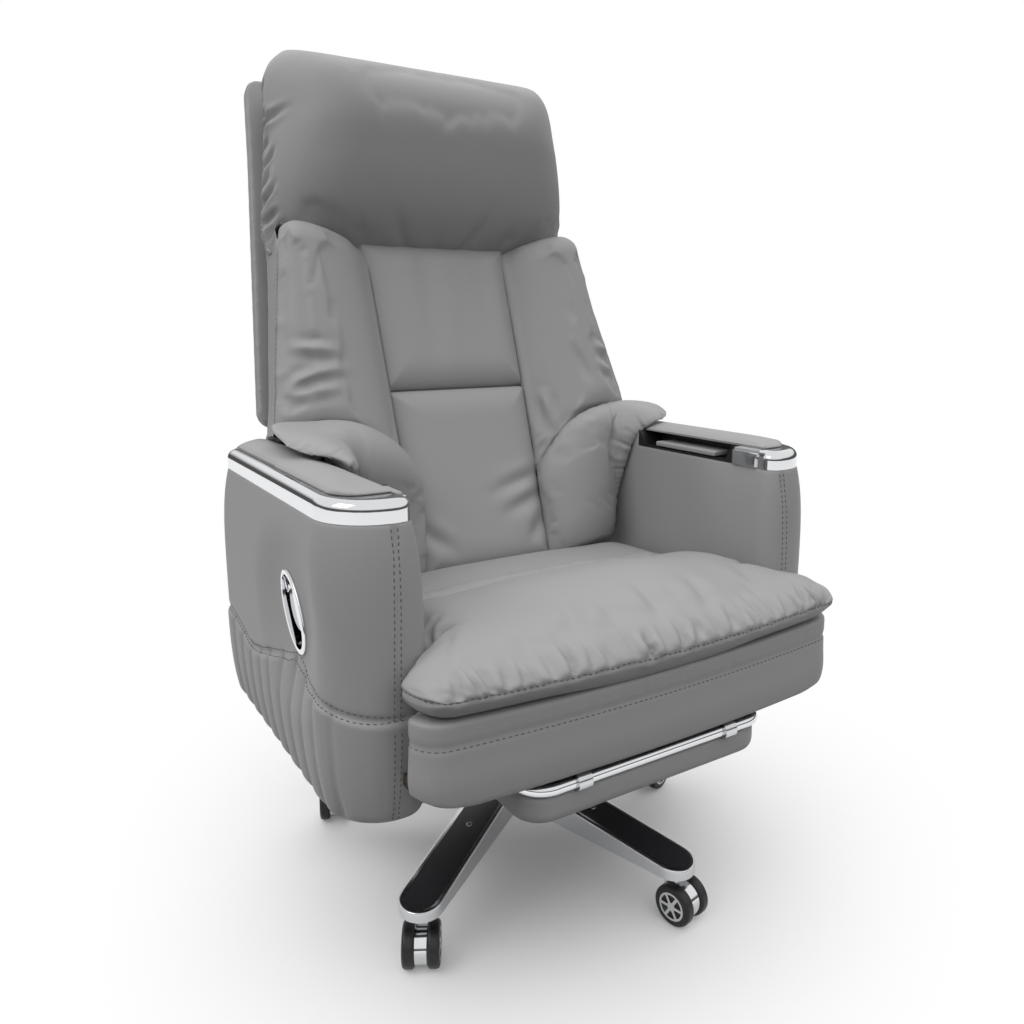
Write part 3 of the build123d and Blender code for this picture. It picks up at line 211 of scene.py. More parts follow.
def along(points: np.ndarray, path: np.ndarray) -> tuple[np.ndarray, np.ndarray]:
    """How far points are from a path, and how far along it.

    Args:
        points: Points in mm.
        path: Points of the path in mm.
    Returns:
        Distances to the path and places along it.
    """
    gap = np.full(len(points), np.inf)
    place = np.zeros(len(points))
    run = 0.0
    for start, end in zip(path[:-1], path[1:]):
        step = end - start
        length = float(np.linalg.norm(step))
        share = np.clip((points - start) @ step / length**2, 0, 1)
        far = np.linalg.norm(points - start - share[:, None] * step, axis=1)
        near = far < gap
        gap[near] = far[near]
        place[near] = (run + share * length)[near]
        run += length
    return gap, place


def folds(place: np.ndarray, spacing: float, seed: int) -> np.ndarray:
    """Uneven folds along a line, as gathered leather has.

    Args:
        place: Distances along the line in mm.
        spacing: Mean distance between folds.
        seed: Picks the pattern.
    Returns:
        Heights from about minus one to one.
    """
    chance = np.random.default_rng(seed)
    total = np.zeros_like(place)
    for stretch in (0.62, 1.0, 1.57):
        drift = chance.uniform(0, 2 * math.pi, 2)
        wander = 0.9 * np.sin(2 * math.pi * place / (spacing * 5.3) + drift[1])
        total += np.sin(2 * math.pi * place / (spacing * stretch) + drift[0] + wander)
    return total / 2


# Mesh tools


def only(piece: bpy.types.Object) -> None:
    """Select one object and make it active.

    Args:
        piece: The object.
    """
    bpy.ops.object.select_all(action="DESELECT")
    piece.select_set(True)
    bpy.context.view_layer.objects.active = piece


def shade_smooth(piece: bpy.types.Object) -> None:
    """Give a piece smooth shading.

    Args:
        piece: The mesh object.
    """
    only(piece)
    bpy.ops.object.shade_smooth()


def points_of(piece: bpy.types.Object) -> np.ndarray:
    """A mesh's vertices in mm.

    Args:
        piece: A mesh object at the origin.
    Returns:
        One row per vertex.
    """
    flat = np.empty(len(piece.data.vertices) * 3, np.float32)
    piece.data.vertices.foreach_get("co", flat)
    return flat.reshape(-1, 3).astype(float) / MM


def normals_of(piece: bpy.types.Object) -> np.ndarray:
    """A mesh's vertex normals.

    Args:
        piece: A mesh object.
    Returns:
        One row per vertex.
    """
    flat = np.empty(len(piece.data.vertices) * 3, np.float32)
    piece.data.vertex_normals.foreach_get("vector", flat)
    return flat.reshape(-1, 3).astype(float)


def place_points(piece: bpy.types.Object, points: np.ndarray) -> None:
    """Move a mesh's vertices.

    Args:
        piece: A mesh object at the origin.
        points: One row per vertex, in mm.
    """
    piece.data.vertices.foreach_set("co", (points * MM).astype(np.float32).ravel())
    piece.data.update()


def swell(piece: bpy.types.Object, amount: np.ndarray) -> None:
    """Push a mesh's vertices along their normals.

    Args:
        piece: A mesh object at the origin.
        amount: Distance for each vertex in mm.
    """
    place_points(piece, points_of(piece) + normals_of(piece) * amount[:, None])


def edit(piece: bpy.types.Object, *steps: Callable[[], object]) -> None:
    """Run edit-mode operators on all of a mesh.

    Args:
        piece: The mesh object.
        steps: Calls of operators, in order.
    """
    only(piece)
    bpy.ops.object.mode_set(mode="EDIT")
    bpy.ops.mesh.select_all(action="SELECT")
    for step in steps:
        step()
    bpy.ops.object.mode_set(mode="OBJECT")


def apply(piece: bpy.types.Object, kind: str, **settings: object) -> None:
    """Add a modifier to an object and apply it.

    Args:
        piece: The object.
        kind: The modifier's type.
        settings: The modifier's values.
    """
    only(piece)
    modifier = piece.modifiers.new(kind.title(), kind)
    for name, value in settings.items():
        setattr(modifier, name, value)
    bpy.ops.object.modifier_apply(modifier=modifier.name)


def patch(name: str, rows: np.ndarray) -> bpy.types.Object:
    """A grid that is shaped to rows of points.

    Args:
        name: The object's name.
        rows: Points in mm by row and column.
    Returns:
        The mesh object.
    """
    bpy.ops.object.select_all(action="DESELECT")
    bpy.ops.mesh.primitive_grid_add(x_subdivisions=rows.shape[1] - 1, y_subdivisions=rows.shape[0] - 1)
    piece = bpy.context.object
    piece.name = piece.data.name = name
    place_points(piece, rows.reshape(-1, 3))
    return piece


def sewn(name: str, front: np.ndarray, rear: np.ndarray) -> bpy.types.Object:
    """Two shaped panels that are sewn along their common rim.

    Args:
        name: The object's name.
        front: Points of the front panel in mm.
        rear: Points of the rear panel, with the same rim.
    Returns:
        The closed mesh object.
    """
    piece = patch(name, front)
    other = patch(name + "_rear", rear)
    only(piece)
    other.select_set(True)
    bpy.ops.object.join()
    edit(
        piece,
        lambda: bpy.ops.mesh.remove_doubles(threshold=0.0001),
        lambda: bpy.ops.mesh.normals_make_consistent(inside=False),
    )
    return piece


def copied(node: str, name: str, voxel: float, rounds: int) -> bpy.types.Object:
    """A finely meshed copy of a CAD node with softened edges.

    Args:
        node: The CAD node.
        name: The copy's name.
        voxel: Mesh size in mm.
        rounds: Rounds of smoothing.
    Returns:
        The mesh object.
    """
    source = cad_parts[node]
    piece = source.copy()
    piece.data = source.data.copy()
    piece.name = piece.data.name = name
    bpy.context.scene.collection.objects.link(piece)
    piece.parent = None
    piece.matrix_world = Matrix.Identity(4)
    piece.data.materials.clear()
    edit(piece, lambda: bpy.ops.mesh.remove_doubles(threshold=0.00001))
    piece.data.remesh_voxel_size = voxel * MM
    only(piece)
    bpy.ops.object.voxel_remesh()
    apply(piece, "SMOOTH", factor=0.5, iterations=rounds)
    return piece


def block(name: str, middle: np.ndarray, size: np.ndarray) -> bpy.types.Object:
    """A block with rounded edges.

    Args:
        name: Name of the object.
        middle: Its middle in mm.
        size: Its three sizes in mm.
    Returns:
        The mesh object.
    """
    bpy.ops.object.select_all(action="DESELECT")
    bpy.ops.mesh.primitive_cube_add(size=1.0)
    piece = bpy.context.object
    piece.name = piece.data.name = name
    place_points(piece, points_of(piece) * MM * size + middle)
    edit(piece, lambda: bpy.ops.mesh.bevel(offset=0.002, segments=3, affect="EDGES"))
    return piece


def inflate(piece: bpy.types.Object, most: float, held: np.ndarray) -> None:
    """Fill a sewn piece with air as a cloth that is cut a little too large; it may swell but not shrink.

    Args:
        piece: The closed mesh object.
        most: The most that a vertex may move outwards, in mm.
        held: True for vertices that stay in place.
    """
    before = points_of(piece)
    outward = normals_of(piece)
    group = piece.vertex_groups.new(name="held")
    group.add([int(k) for k in np.flatnonzero(held)], 1.0, "REPLACE")
    only(piece)
    modifier = piece.modifiers.new("Fill", "CLOTH")
    cloth = modifier.settings
    cloth.quality = 6
    cloth.mass = 0.25
    cloth.tension_stiffness = cloth.compression_stiffness = 18
    cloth.shear_stiffness = 9
    cloth.bending_stiffness = 0.6
    cloth.shrink_min = -FILL_SLACK
    cloth.use_pressure = True
    cloth.uniform_pressure_force = FILL_PRESSURE
    cloth.effector_weights.gravity = 0
    cloth.vertex_group_mass = "held"
    modifier.collision_settings.use_collision = False
    modifier.point_cache.frame_end = FILL_FRAMES
    scene = bpy.context.scene
    for number in range(1, FILL_FRAMES + 1):
        scene.frame_set(number)
    bpy.ops.object.modifier_apply(modifier=modifier.name)
    scene.frame_set(1)
    rise = np.maximum(((points_of(piece) - before) * outward).sum(1), 0)
    LOG.info("%s rose %.1f mm at most", piece.name, rise.max())
    place_points(piece, before + outward * (most * np.tanh(rise / most))[:, None])
    piece.vertex_groups.clear()


def refine(piece: bpy.types.Object) -> None:
    """Split a mesh once and smooth it.

    Args:
        piece: The mesh object.
    """
    apply(piece, "SUBSURF", levels=1, render_levels=1)


def crease(
    piece: bpy.types.Object,
    points: Sequence[Sequence[float]],
    width: float,
    depth: float,
    head: float = 0.25,
) -> None:
    """Press one fold into the leather, with a ridge on both sides.

    Args:
        piece: A mesh object at the origin.
        points: The fold's line in mm, from its deep end.
        width: Half width of the fold.
        depth: Its depth.
        head: Share of the length over which the deep end starts.
    """
    path, _ = on_skin(piece, spline(points, 14), 0.0)
    gap, place = along(points_of(piece), path)
    share = place / max(length_of(path), 1.0)
    fade = ease(share / head + 0.35) * ease((1 - share) / 0.7)
    ridge = np.exp(-(((gap - 1.9 * width) / (1.1 * width)) ** 2))
    swell(piece, depth * fade * (0.5 * ridge - np.exp(-((gap / width) ** 2))))


def groove(piece: bpy.types.Object, path: np.ndarray, width: float, depth: float) -> None:
    """Press a seam into a soft piece.

    Args:
        piece: A mesh object at the origin.
        path: The seam's points in mm.
        width: Half width of the groove.
        depth: Its depth.
    """
    gap, _ = along(points_of(piece), path)
    swell(piece, -depth * np.exp(-((gap / width) ** 2)))


def gather(
    piece: bpy.types.Object,
    path: np.ndarray,
    spacing: float,
    reach: float,
    depth: float,
    seed: int,
    where: np.ndarray | None = None,
) -> None:
    """Pull short folds into the leather beside a seam.

    Args:
        piece: A mesh object at the origin.
        path: The seam's points in mm.
        spacing: Mean distance between folds.
        reach: Length of the folds.
        depth: Depth of a fold.
        seed: Picks the pattern.
        where: Share of the depth for each vertex.
    """
    gap, place = along(points_of(piece), path)
    wave = folds(place, spacing, seed)
    pressed = -np.maximum(wave, 0) ** 1.6 + 0.45 * np.maximum(-wave, 0)
    uneven = 0.75 + 0.25 * folds(place, spacing * 3.7, seed + 1)
    near = np.exp(-((gap / (reach * uneven.clip(0.35, 1.4))) ** 1.5)) * ease(gap / 5)
    amount = depth * pressed * near
    swell(piece, amount if where is None else amount * where)


# Stitching


def on_skin(piece: bpy.types.Object, path: np.ndarray, lift: float) -> tuple[np.ndarray, np.ndarray]:
    """Lay a line on a piece's surface.

    Args:
        piece: A mesh object at the origin.
        path: The line's points in mm.
        lift: Height above the surface in mm.
    Returns:
        The points on the surface and its normals there.
    """
    spots, ups = [], []
    for point in path:
        _, spot, up, _ = piece.closest_point_on_mesh(Vector(point) * MM)
        spots.append(np.array(spot) / MM + np.array(up) * lift)
        ups.append(np.array(up))
    return np.array(spots), np.array(ups)


@dataclass(frozen=True)
class Thread:
    """Sewing thread: one stitch is modelled and repeated along a line."""

    length: float = 5.2
    gap: float = 2.6
    radius: float = 0.62

    def stitch(self) -> tuple[np.ndarray, list[list[int]]]:
        """Model one stitch along x.

        Returns:
            Its points in mm and its faces.
        """
        bpy.ops.object.select_all(action="DESELECT")
        bpy.ops.mesh.primitive_uv_sphere_add(segments=6, ring_count=4, radius=1.0)
        ball = bpy.context.object
        points = points_of(ball) * MM * (self.length / 2, self.radius * 1.25, self.radius)
        faces = [list(face.vertices) for face in ball.data.polygons]
        bpy.data.objects.remove(ball)
        return points, faces

    def sew(self, name: str, piece: bpy.types.Object, paths: Iterable[np.ndarray]) -> bpy.types.Object:
        """Sew rows of stitches onto a piece.

        Args:
            name: The rows' name.
            piece: The mesh object that they lie on.
            paths: A line in mm for each row.
        Returns:
            One mesh object with all the stitches.
        """
        base, base_faces = self.stitch()
        points, faces = [], []
        for path in paths:
            count = max(2, int(length_of(path) / (self.length + self.gap)))
            spots, ups = on_skin(piece, resample(path, count + 1), 0.25 * self.radius)
            for start, end, up in zip(spots[:-1], spots[1:], ups[:-1]):
                ahead = end - start
                ahead = ahead / max(float(np.linalg.norm(ahead)), 1e-6)
                side = np.cross(up, ahead)
                side = side / max(float(np.linalg.norm(side)), 1e-6)
                turned = base @ np.stack([ahead, side, np.cross(ahead, side)])
                faces += [[k + len(points) * len(base) for k in face] for face in base_faces]
                points.append((start + end) / 2 + turned)
        mesh = bpy.data.meshes.new(name)
        mesh.from_pydata((np.concatenate(points) * MM).tolist(), [], faces)
        rows = bpy.data.objects.new(name, mesh)
        bpy.context.scene.collection.objects.link(rows)
        return rows


# Finishes


def add_node(
    tree: bpy.types.NodeTree,
    kind: str,
    sockets: dict | None = None,
    **settings: object,
) -> bpy.types.Node:
    """Add a shader node.

    Args:
        tree: The node tree.
        kind: The node's type.
        sockets: Values, or other nodes' outputs, for its inputs.
        settings: The node's own properties.
    Returns:
        The node.
    """
    node = tree.nodes.new(kind)
    for name, value in settings.items():
        setattr(node, name, value)
    for name, value in (sockets or {}).items():
        if isinstance(value, bpy.types.NodeSocket):
            tree.links.new(value, node.inputs[name])
        else:
            node.inputs[name].default_value = value
    return node


def ranged(
    tree: bpy.types.NodeTree,
    value: bpy.types.NodeSocket,
    low: float,
    high: float,
    span: tuple[float, float] = (0.0, 1.0),
    smooth: bool = False,
) -> bpy.types.NodeSocket:
    """Map a shader value onto a range.

    Args:
        tree: The node tree.
        value: The value.
        low: What the start of its span turns into.
        high: What the end of its span turns into.
        span: Start and end of the value.
        smooth: True for a range with flat ends.
    Returns:
        The mapped value.
    """
    sockets = {"Value": value, "From Min": span[0], "From Max": span[1], "To Min": low, "To Max": high}
    kind = "SMOOTHSTEP" if smooth else "LINEAR"
    return add_node(tree, "ShaderNodeMapRange", sockets, interpolation_type=kind).outputs[0]


@dataclass(frozen=True)
class Finish:
    """A plain surface: colour, gloss and metal."""

    name: str
    colour: str
    roughness: float
    metallic: float = 0.0
    coat: float = 0.0

    def material(self) -> bpy.types.Material:
        """Make the material once and return it.

        Returns:
            The material.
        """
        found = bpy.data.materials.get(self.name)
        if found:
            return found
        made = bpy.data.materials.new(self.name)
        made.use_nodes = True
        shader = made.node_tree.nodes["Principled BSDF"]
        shader.inputs["Base Color"].default_value = linear(self.colour)
        shader.inputs["Roughness"].default_value = self.roughness
        shader.inputs["Metallic"].default_value = self.metallic
        shader.inputs["Coat Weight"].default_value = self.coat
        self.work(made.node_tree, shader)
        return made

    def work(self, tree: bpy.types.NodeTree, shader: bpy.types.Node) -> None:
        """Add what the surface shows beyond its plain values.

        Args:
            tree: The material's node tree.
            shader: Its surface shader.
        """

    def tint(self, tree: bpy.types.NodeTree, shader: bpy.types.Node, tone: bpy.types.NodeSocket) -> None:
        """Lighten and darken the colour by a shader value.

        Args:
            tree: The material's node tree.
            shader: Its surface shader.
            tone: The value, about one.
        """
        sockets = {0: linear(self.colour)[:3], "Scale": tone}
        mix = add_node(tree, "ShaderNodeVectorMath", sockets, operation="SCALE")
        tree.links.new(mix.outputs[0], shader.inputs["Base Color"])

    def dress(self, piece: bpy.types.Object) -> None:
        """Give a piece this finish on all its faces.

        Args:
            piece: The mesh object.
        """
        if not piece.data.materials:
            piece.data.materials.append(self.material())
        for number in range(len(piece.data.materials)):
            piece.data.materials[number] = self.material()


@dataclass(frozen=True)
class Leather(Finish):
    """Soft matt leather: a fine pebble grain, faint cloudy shade and uneven gloss."""

    grain: float = 2.6
    relief: float = 0.16
    strength: float = 0.35
    cloud: float = 1000 / 9
    cloudy: tuple[float, float] = (0.93, 1.07)
    specked: tuple[float, float] = (1.04, 0.94)
    uneven: float = 0.05
    shine: float = 0.35

    def work(self, tree: bpy.types.NodeTree, shader: bpy.types.Node) -> None:
        """Add grain and shade; the grain is drawn coarser than the real 1 mm so that it shows.

        Args:
            tree: The material's node tree.
            shader: Its surface shader.
        """
        place = add_node(tree, "ShaderNodeTexCoord").outputs["Object"]
        pebbles = add_node(tree, "ShaderNodeTexVoronoi", {"Vector": place, "Scale": 1 / (self.grain * MM)})
        fine = add_node(
            tree,
            "ShaderNodeTexNoise",
            {"Vector": place, "Scale": 1 / (3 * self.grain * MM), "Detail": 3.0},
        )
        both = add_node(
            tree,
            "ShaderNodeMath",
            {0: pebbles.outputs["Distance"], 1: fine.outputs["Fac"]},
            operation="ADD",
        )
        bump = add_node(
            tree,
            "ShaderNodeBump",
            {"Height": both.outputs[0], "Strength": self.strength, "Distance": self.relief * MM},
        )
        tree.links.new(bump.outputs["Normal"], shader.inputs["Normal"])
        cloud = add_node(
            tree,
            "ShaderNodeTexNoise",
            {"Vector": place, "Scale": 1 / (self.cloud * MM), "Detail": 4.0},
        )
        shade = ranged(tree, cloud.outputs["Fac"], self.cloudy[0], self.cloudy[1])
        speck = ranged(tree, pebbles.outputs["Distance"], self.specked[0], self.specked[1])
        tone = add_node(tree, "ShaderNodeMath", {0: shade, 1: speck}, operation="MULTIPLY")
        self.tint(tree, shader, tone.outputs[0])
        low, high = self.roughness - self.uneven, self.roughness + self.uneven
        tree.links.new(ranged(tree, cloud.outputs["Fac"], low, high), shader.inputs["Roughness"])
        shader.inputs["Specular IOR Level"].default_value = self.shine


@dataclass(frozen=True)
class Plywood(Finish):
    """Plywood stained dark, the dark tone partly painted shade so that the board reads as the shadowed gap
    below the seat box: long brown streaks.
    """

    streak: float = 14.0
    shades: tuple[float, float] = (0.7, 1.2)

    def work(self, tree: bpy.types.NodeTree, shader: bpy.types.Node) -> None:
        """Add streaks along x.

        Args:
            tree: The material's node tree.
            shader: Its surface shader.
        """
        place = add_node(tree, "ShaderNodeTexCoord").outputs["Object"]
        drawn = add_node(tree, "ShaderNodeMapping", {"Vector": place, "Scale": (0.08, 1.0, 1.0)})
        grain = add_node(
            tree,
            "ShaderNodeTexNoise",
            {"Vector": drawn.outputs[0], "Scale": 1 / (self.streak * MM), "Detail": 5.0},
        )
        self.tint(tree, shader, ranged(tree, grain.outputs["Fac"], self.shades[0], self.shades[1]))


# Dyed leather with a pressed grain: soft matt grey
LEATHER = Leather("grey_leather", "a8a7a4", 0.55)
# Twisted polyester thread: dull stitches, darker than the leather
THREAD_FINISH = Finish("sewing_thread", "6a6967", 0.7)
FINISHES = {
    "grey_leather": LEATHER,
    # Plated and buffed steel: a clear mirror
    "chrome_trim": Finish("mirror_chrome", "d9dadc", 0.07, metallic=1.0),
    # Die-cast aluminium, polished: bright, with slightly soft reflections
    "polished_base": Finish("polished_aluminium", "cfd0d2", 0.14, metallic=1.0),
    # Moulded plastic under lacquer: deep black with sharp highlights
    "gloss_black_inlay": Finish("gloss_black_inlay", "0b0b0d", 0.08, coat=0.6),
    # Moulded nylon: black with a soft sheen
    "caster_nylon": Finish("black_caster_nylon", "17171a", 0.38),
    # Moulded plastic with a fine texture: satin black
    "black_plastic": Finish("black_moulded_plastic", "1b1b1d", 0.42),
    # Powder-coated steel: dull black
    "black_steel": Finish("black_powder_coat", "161617", 0.5),
    # Zinc-plated steel: light grey metal with blurred reflections
    "bright_steel": Finish("bright_zinc_steel", "c9cacc", 0.16, metallic=1.0),
    # Stained plywood: dark brown streaks; the dark tone is partly painted shade, so that where the board
    # shows below the seat box it reads as the shadowed gap
    "plywood": Plywood("stained_plywood_and_painted_shade", "3b342c", 0.6),
}
THREAD = Thread()


def settle(piece: bpy.types.Object, body: str, nodes: Sequence[str]) -> None:
    """Finish a padded piece: leather, smooth shading, its body and what it stands for.

    Args:
        piece: The mesh object.
        body: The CAD body that it rides on.
        nodes: CAD nodes that it replaces.
    """
    shade_smooth(piece)
    LEATHER.dress(piece)
    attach(piece, body)
    if nodes:
        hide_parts(*nodes)
    LOG.info("%s: %d vertices", piece.name, len(piece.data.vertices))


def settle_thread(rows: bpy.types.Object, body: str) -> None:
    """Finish rows of stitches.

    Args:
        rows: The mesh object.
        body: The CAD body that they ride on.
    """
    shade_smooth(rows)
    THREAD_FINISH.dress(rows)
    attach(rows, body)


# The chair


@dataclass(frozen=True)
class BackPlane:
    """The tilted plane of the back: x across, rise along its face, out towards the sitter, in mm."""

    y: float = 71.0
    z: float = 467.0
    tilt: float = math.radians(19.4)

    def world(self, x: np.ndarray, rise: np.ndarray, out: np.ndarray) -> np.ndarray:
        """Turn places on the back into places in the room.

        Args:
            x: Distances across.
            rise: Distances up along the back.
            out: Distances out of its face.
        Returns:
            Points in mm, with x, y and z last.
        """
        x, rise, out = np.broadcast_arrays(x, rise, out)
        sine, cosine = math.sin(self.tilt), math.cos(self.tilt)
        return np.stack([x, self.y + sine * rise - cosine * out, self.z + cosine * rise + sine * out], -1)


BACK = BackPlane()


@dataclass(frozen=True)
class SeatFront:
    """How the seat's front edge swells forward in the middle and sinks, in mm."""

    half: float = 330.0
    bow: float = 15.0
    sink: float = 8.0
    start: float = -190.0
    end: float = -330.0
    ends_share: float = 0.35

    def bend(self, points: np.ndarray, sink: float = 1.0) -> np.ndarray:
        """Move points of the seat to its bowed front.

        Args:
            points: Points in mm.
            sink: Share of the sinking.
        Returns:
            The moved points.
        """
        share = ease((self.start - points[:, 1]) / (self.start - self.end))
        middle = np.clip(1 - (points[:, 0] / self.half) ** 2, 0, 1)
        moved = points.copy()
        moved[:, 1] -= self.bow * share * middle
        moved[:, 2] -= self.sink * sink * share * (self.ends_share + (1 - self.ends_share) * middle)
        return moved


SEAT_FRONT = SeatFront()


@dataclass
class SeatCushion:
    """Seat cushion: a plump T-shaped front pillow sewn to a flatter rear part, in mm."""

    nose: float = -367.0
    half: float = 268.0
    tip: float = 331.0
    shoulder: float = -256.0
    tip_place: float = -310.0
    corner: float = 36.0
    seam: float = 457.0
    rear_seam: float = 442.0
    seam_run: float = 120.0
    fold: float = -90.0
    pleats: int = 34
    pleat_span: float = 300.0
    side_drop: float = 0.17
    side_drop_start: float = 60.0
    side_drop_run: float = 130.0
    turned_in: float = 30.0
    held_from: float = -60.0

    def half_width(self, y: np.ndarray) -> np.ndarray:
        """Half width of the cushion's plan.

        Args:
            y: Places from rear to nose.
        Returns:
            Half widths in mm.
        """
        spread = np.clip((self.shoulder - y) / (self.shoulder - self.tip_place), 0, 1)
        turn = np.clip((self.tip_place - y) / (self.tip_place - self.nose), 0, 1)
        return self.half + (self.tip - self.half) * spread**0.8 - self.corner * (1 - np.sqrt(1 - turn**2))

    def seam_level(self, y: np.ndarray) -> np.ndarray:
        """Height of the seam between the top and the lower panel.

        Args:
            y: Places from rear to nose.
        Returns:
            Heights in mm.
        """
        return self.rear_seam + (self.seam - self.rear_seam) * ease((-self.seam_run - y) / self.seam_run)

    def panel(self, line: np.ndarray, columns: int, reach: float) -> np.ndarray:
        """One panel of the cushion over its plan.

        Args:
            line: The middle section's points (y, z) from rear to nose.
            columns: Points across.
            reach: Width of the rounded edge.
        Returns:
            Points by row and column.
        """
        across = crowded(columns, 0.92)
        y, level = line[:, :1], line[:, 1:]
        half = self.half_width(y)
        seam = self.seam_level(y)
        height = bulge((1 - np.abs(across)) * half, reach)
        x = across * half
        lower = 1 - self.side_drop * ease((np.abs(x) - self.side_drop_start) / self.side_drop_run)
        return np.stack([x, y + 0 * x, seam + (level - seam) * height * lower], -1)

    def front_seam(self) -> np.ndarray:
        """The seam round the front of the cushion.

        Returns:
            Points in mm.
        """
        flank = np.linspace(self.tip_place + self.turned_in, self.tip_place, 8)
        turn = self.nose + (self.tip_place - self.nose) * np.linspace(1, 0, 40) ** 2
        y = np.concatenate([flank, turn])
        side = np.column_stack([self.half_width(y), y, self.seam_level(y)])
        return resample(np.vstack([side * (-1, 1, 1), side[::-1]]), 170)

    def pucker(self, piece: bpy.types.Object) -> None:
        """Pull uneven folds up from the front seam.

        Args:
            piece: The cushion's cover.
        """
        chance = np.random.default_rng(17)
        places = np.linspace(-self.pleat_span, self.pleat_span, self.pleats)
        places = places + chance.uniform(-9, 9, self.pleats)
        for x in places:
            lean = chance.uniform(-16, 22)
            reach = chance.uniform(14, 62) * (1 - 0.35 * (abs(x) / self.pleat_span) ** 4)
            line = [
                (x, -366, 459),
                (x + lean * 0.4, -354, 472),
                (x + lean, -362 + reach, 478 + 0.25 * reach),
            ]
            crease(piece, line, chance.uniform(3.2, 6.4), chance.uniform(1.6, 7.0), 0.2)

    def build(self) -> None:
        """Model the cushion with its seams, folds and stitches."""
        rows, columns = 76, 108
        top = spline(
            [(64, 442), (61, 454), (46, 463), (-30, 469), (-72, 469), (-88, 463), (-98, 466), (-120, 481),
             (-160, 496), (-217, 504), (-285, 500), (-328, 489), (-352, 474), (-364, 463), (-367, 457)],
            rows,
        )
        low = spline(
            [(64, 442), (58, 428), (40, 421), (-200, 421), (-330, 424), (-356, 436), (-367, 457)],
            rows,
        )
        piece = sewn("seat_cushion_cover", self.panel(top, columns, 64.0), self.panel(low, columns, 40.0))
        points = points_of(piece)
        below_seam = points[:, 2] < self.seam_level(points[:, 1]) + 1
        inflate(piece, 5.0, below_seam | (points[:, 1] > self.held_from))
        refine(piece)
        front = self.front_seam()
        cross = np.stack([np.linspace(-264, 264, 60), np.full(60, self.fold), np.full(60, 463.0)], 1)
        self.pucker(piece)
        for side in (-1, 1):
            for shift in (0, 14):
                tuck = [
                    (276, -262 + shift, 474),
                    (262, -252 + 1.6 * shift, 484),
                    (226, -246 + 2 * shift, 496),
                ]
                crease(piece, [(side * x, y, z) for x, y, z in tuck], 5.5, 5.0)
        for x, y, lean in ((87, -300, 30), (9, -296, 22), (-115, -296, 26), (190, -290, 34)):
            line = [(x, y - 30, 485), (x + lean * 0.5, y, 496), (x + lean, y + 55, 504)]
            crease(piece, line, 12.0, 4.2, 0.6)
        gather(piece, cross, 52.0, 40.0, 2.0, 13, ease((points_of(piece)[:, 2] - 450) / 8))
        groove(piece, cross, 5.0, 4.0)
        groove(piece, front, 3.0, 3.0)
        place_points(piece, SEAT_FRONT.bend(points_of(piece)))
        front = SEAT_FRONT.bend(front)
        settle(piece, "seat", ["seat_cushion"])
        settle_thread(THREAD.sew("seat_cushion_seam", piece, [front]), "seat")


@dataclass
class SeatBox:
    """Upholstered box under the cushion with a stitched line below its top edge, in mm."""

    level: float = 400.0
    front: float = -345.0
    half: float = 328.0
    corner: float = 34.0
    forward: float = 9.0
    taper: float = 20.0
    top_rise: float = 8.0
    foot_rise: float = 7.0
    corner_rise: float = 20.0

    def line(self, level: float) -> np.ndarray:
        """A line round the box's front.

        Args:
            level: Its height in mm.
        Returns:
            Points in mm.
        """
        bend = quarter(self.half - self.corner, self.front, self.corner, 12)
        plan = np.vstack([[(self.half, -275.0)], bend])
        plan = np.vstack([plan * (-1, 1), plan[::-1]])
        return resample(np.column_stack([plan, np.full(len(plan), level)]), 170)

    def build(self) -> None:
        """Model the box and its stitches."""
        piece = copied("seat_box", "seat_box_cover", 4.0, 8)
        points = points_of(piece)
        middle = np.exp(-(((points[:, 2] - 352) / 26) ** 2))
        swell(piece, (1.0 + 2.5 * middle) * ease((-250 - points[:, 1]) / 60))
        points = points_of(piece)
        outer = np.clip((np.abs(points[:, 0]) - 285) / 43, 0, 1)
        points[:, 0] -= np.sign(points[:, 0]) * self.taper * outer * ease((points[:, 1] + 318) / 36)
        rear = np.clip(points[:, 1] + 300, 0, 30) * (points[:, 1] < -262)
        points[:, 1] -= self.forward * ease((-200 - points[:, 1]) / 60) + 0.6 * rear * outer
        high = ease((points[:, 2] - 370) / 40)
        bent = SEAT_FRONT.bend(points)
        front_share = ease((-290 - points[:, 1]) / 40)
        low = ease((360 - points[:, 2]) / 66)
        corner = np.clip((np.abs(points[:, 0]) - 255) / 73, 0, 1) ** 2
        sunk = bent[:, 2] - points[:, 2]
        lifted = (self.foot_rise + self.corner_rise * corner) * low * front_share
        bent[:, 2] = points[:, 2] + (sunk + self.top_rise * front_share) * high + lifted
        place_points(piece, bent)
        line = SEAT_FRONT.bend(self.line(self.level), 0.5) - (0, self.forward, 0)
        groove(piece, line, 3.5, 2.4)
        gather(piece, line, 30.0, 16.0, 0.9, 21, ease((points[:, 2] - self.level) / 4))
        settle(piece, "seat", ["seat_box"])
        settle_thread(THREAD.sew("seat_box_stitches", piece, [line - (0, 0, 4)]), "seat")


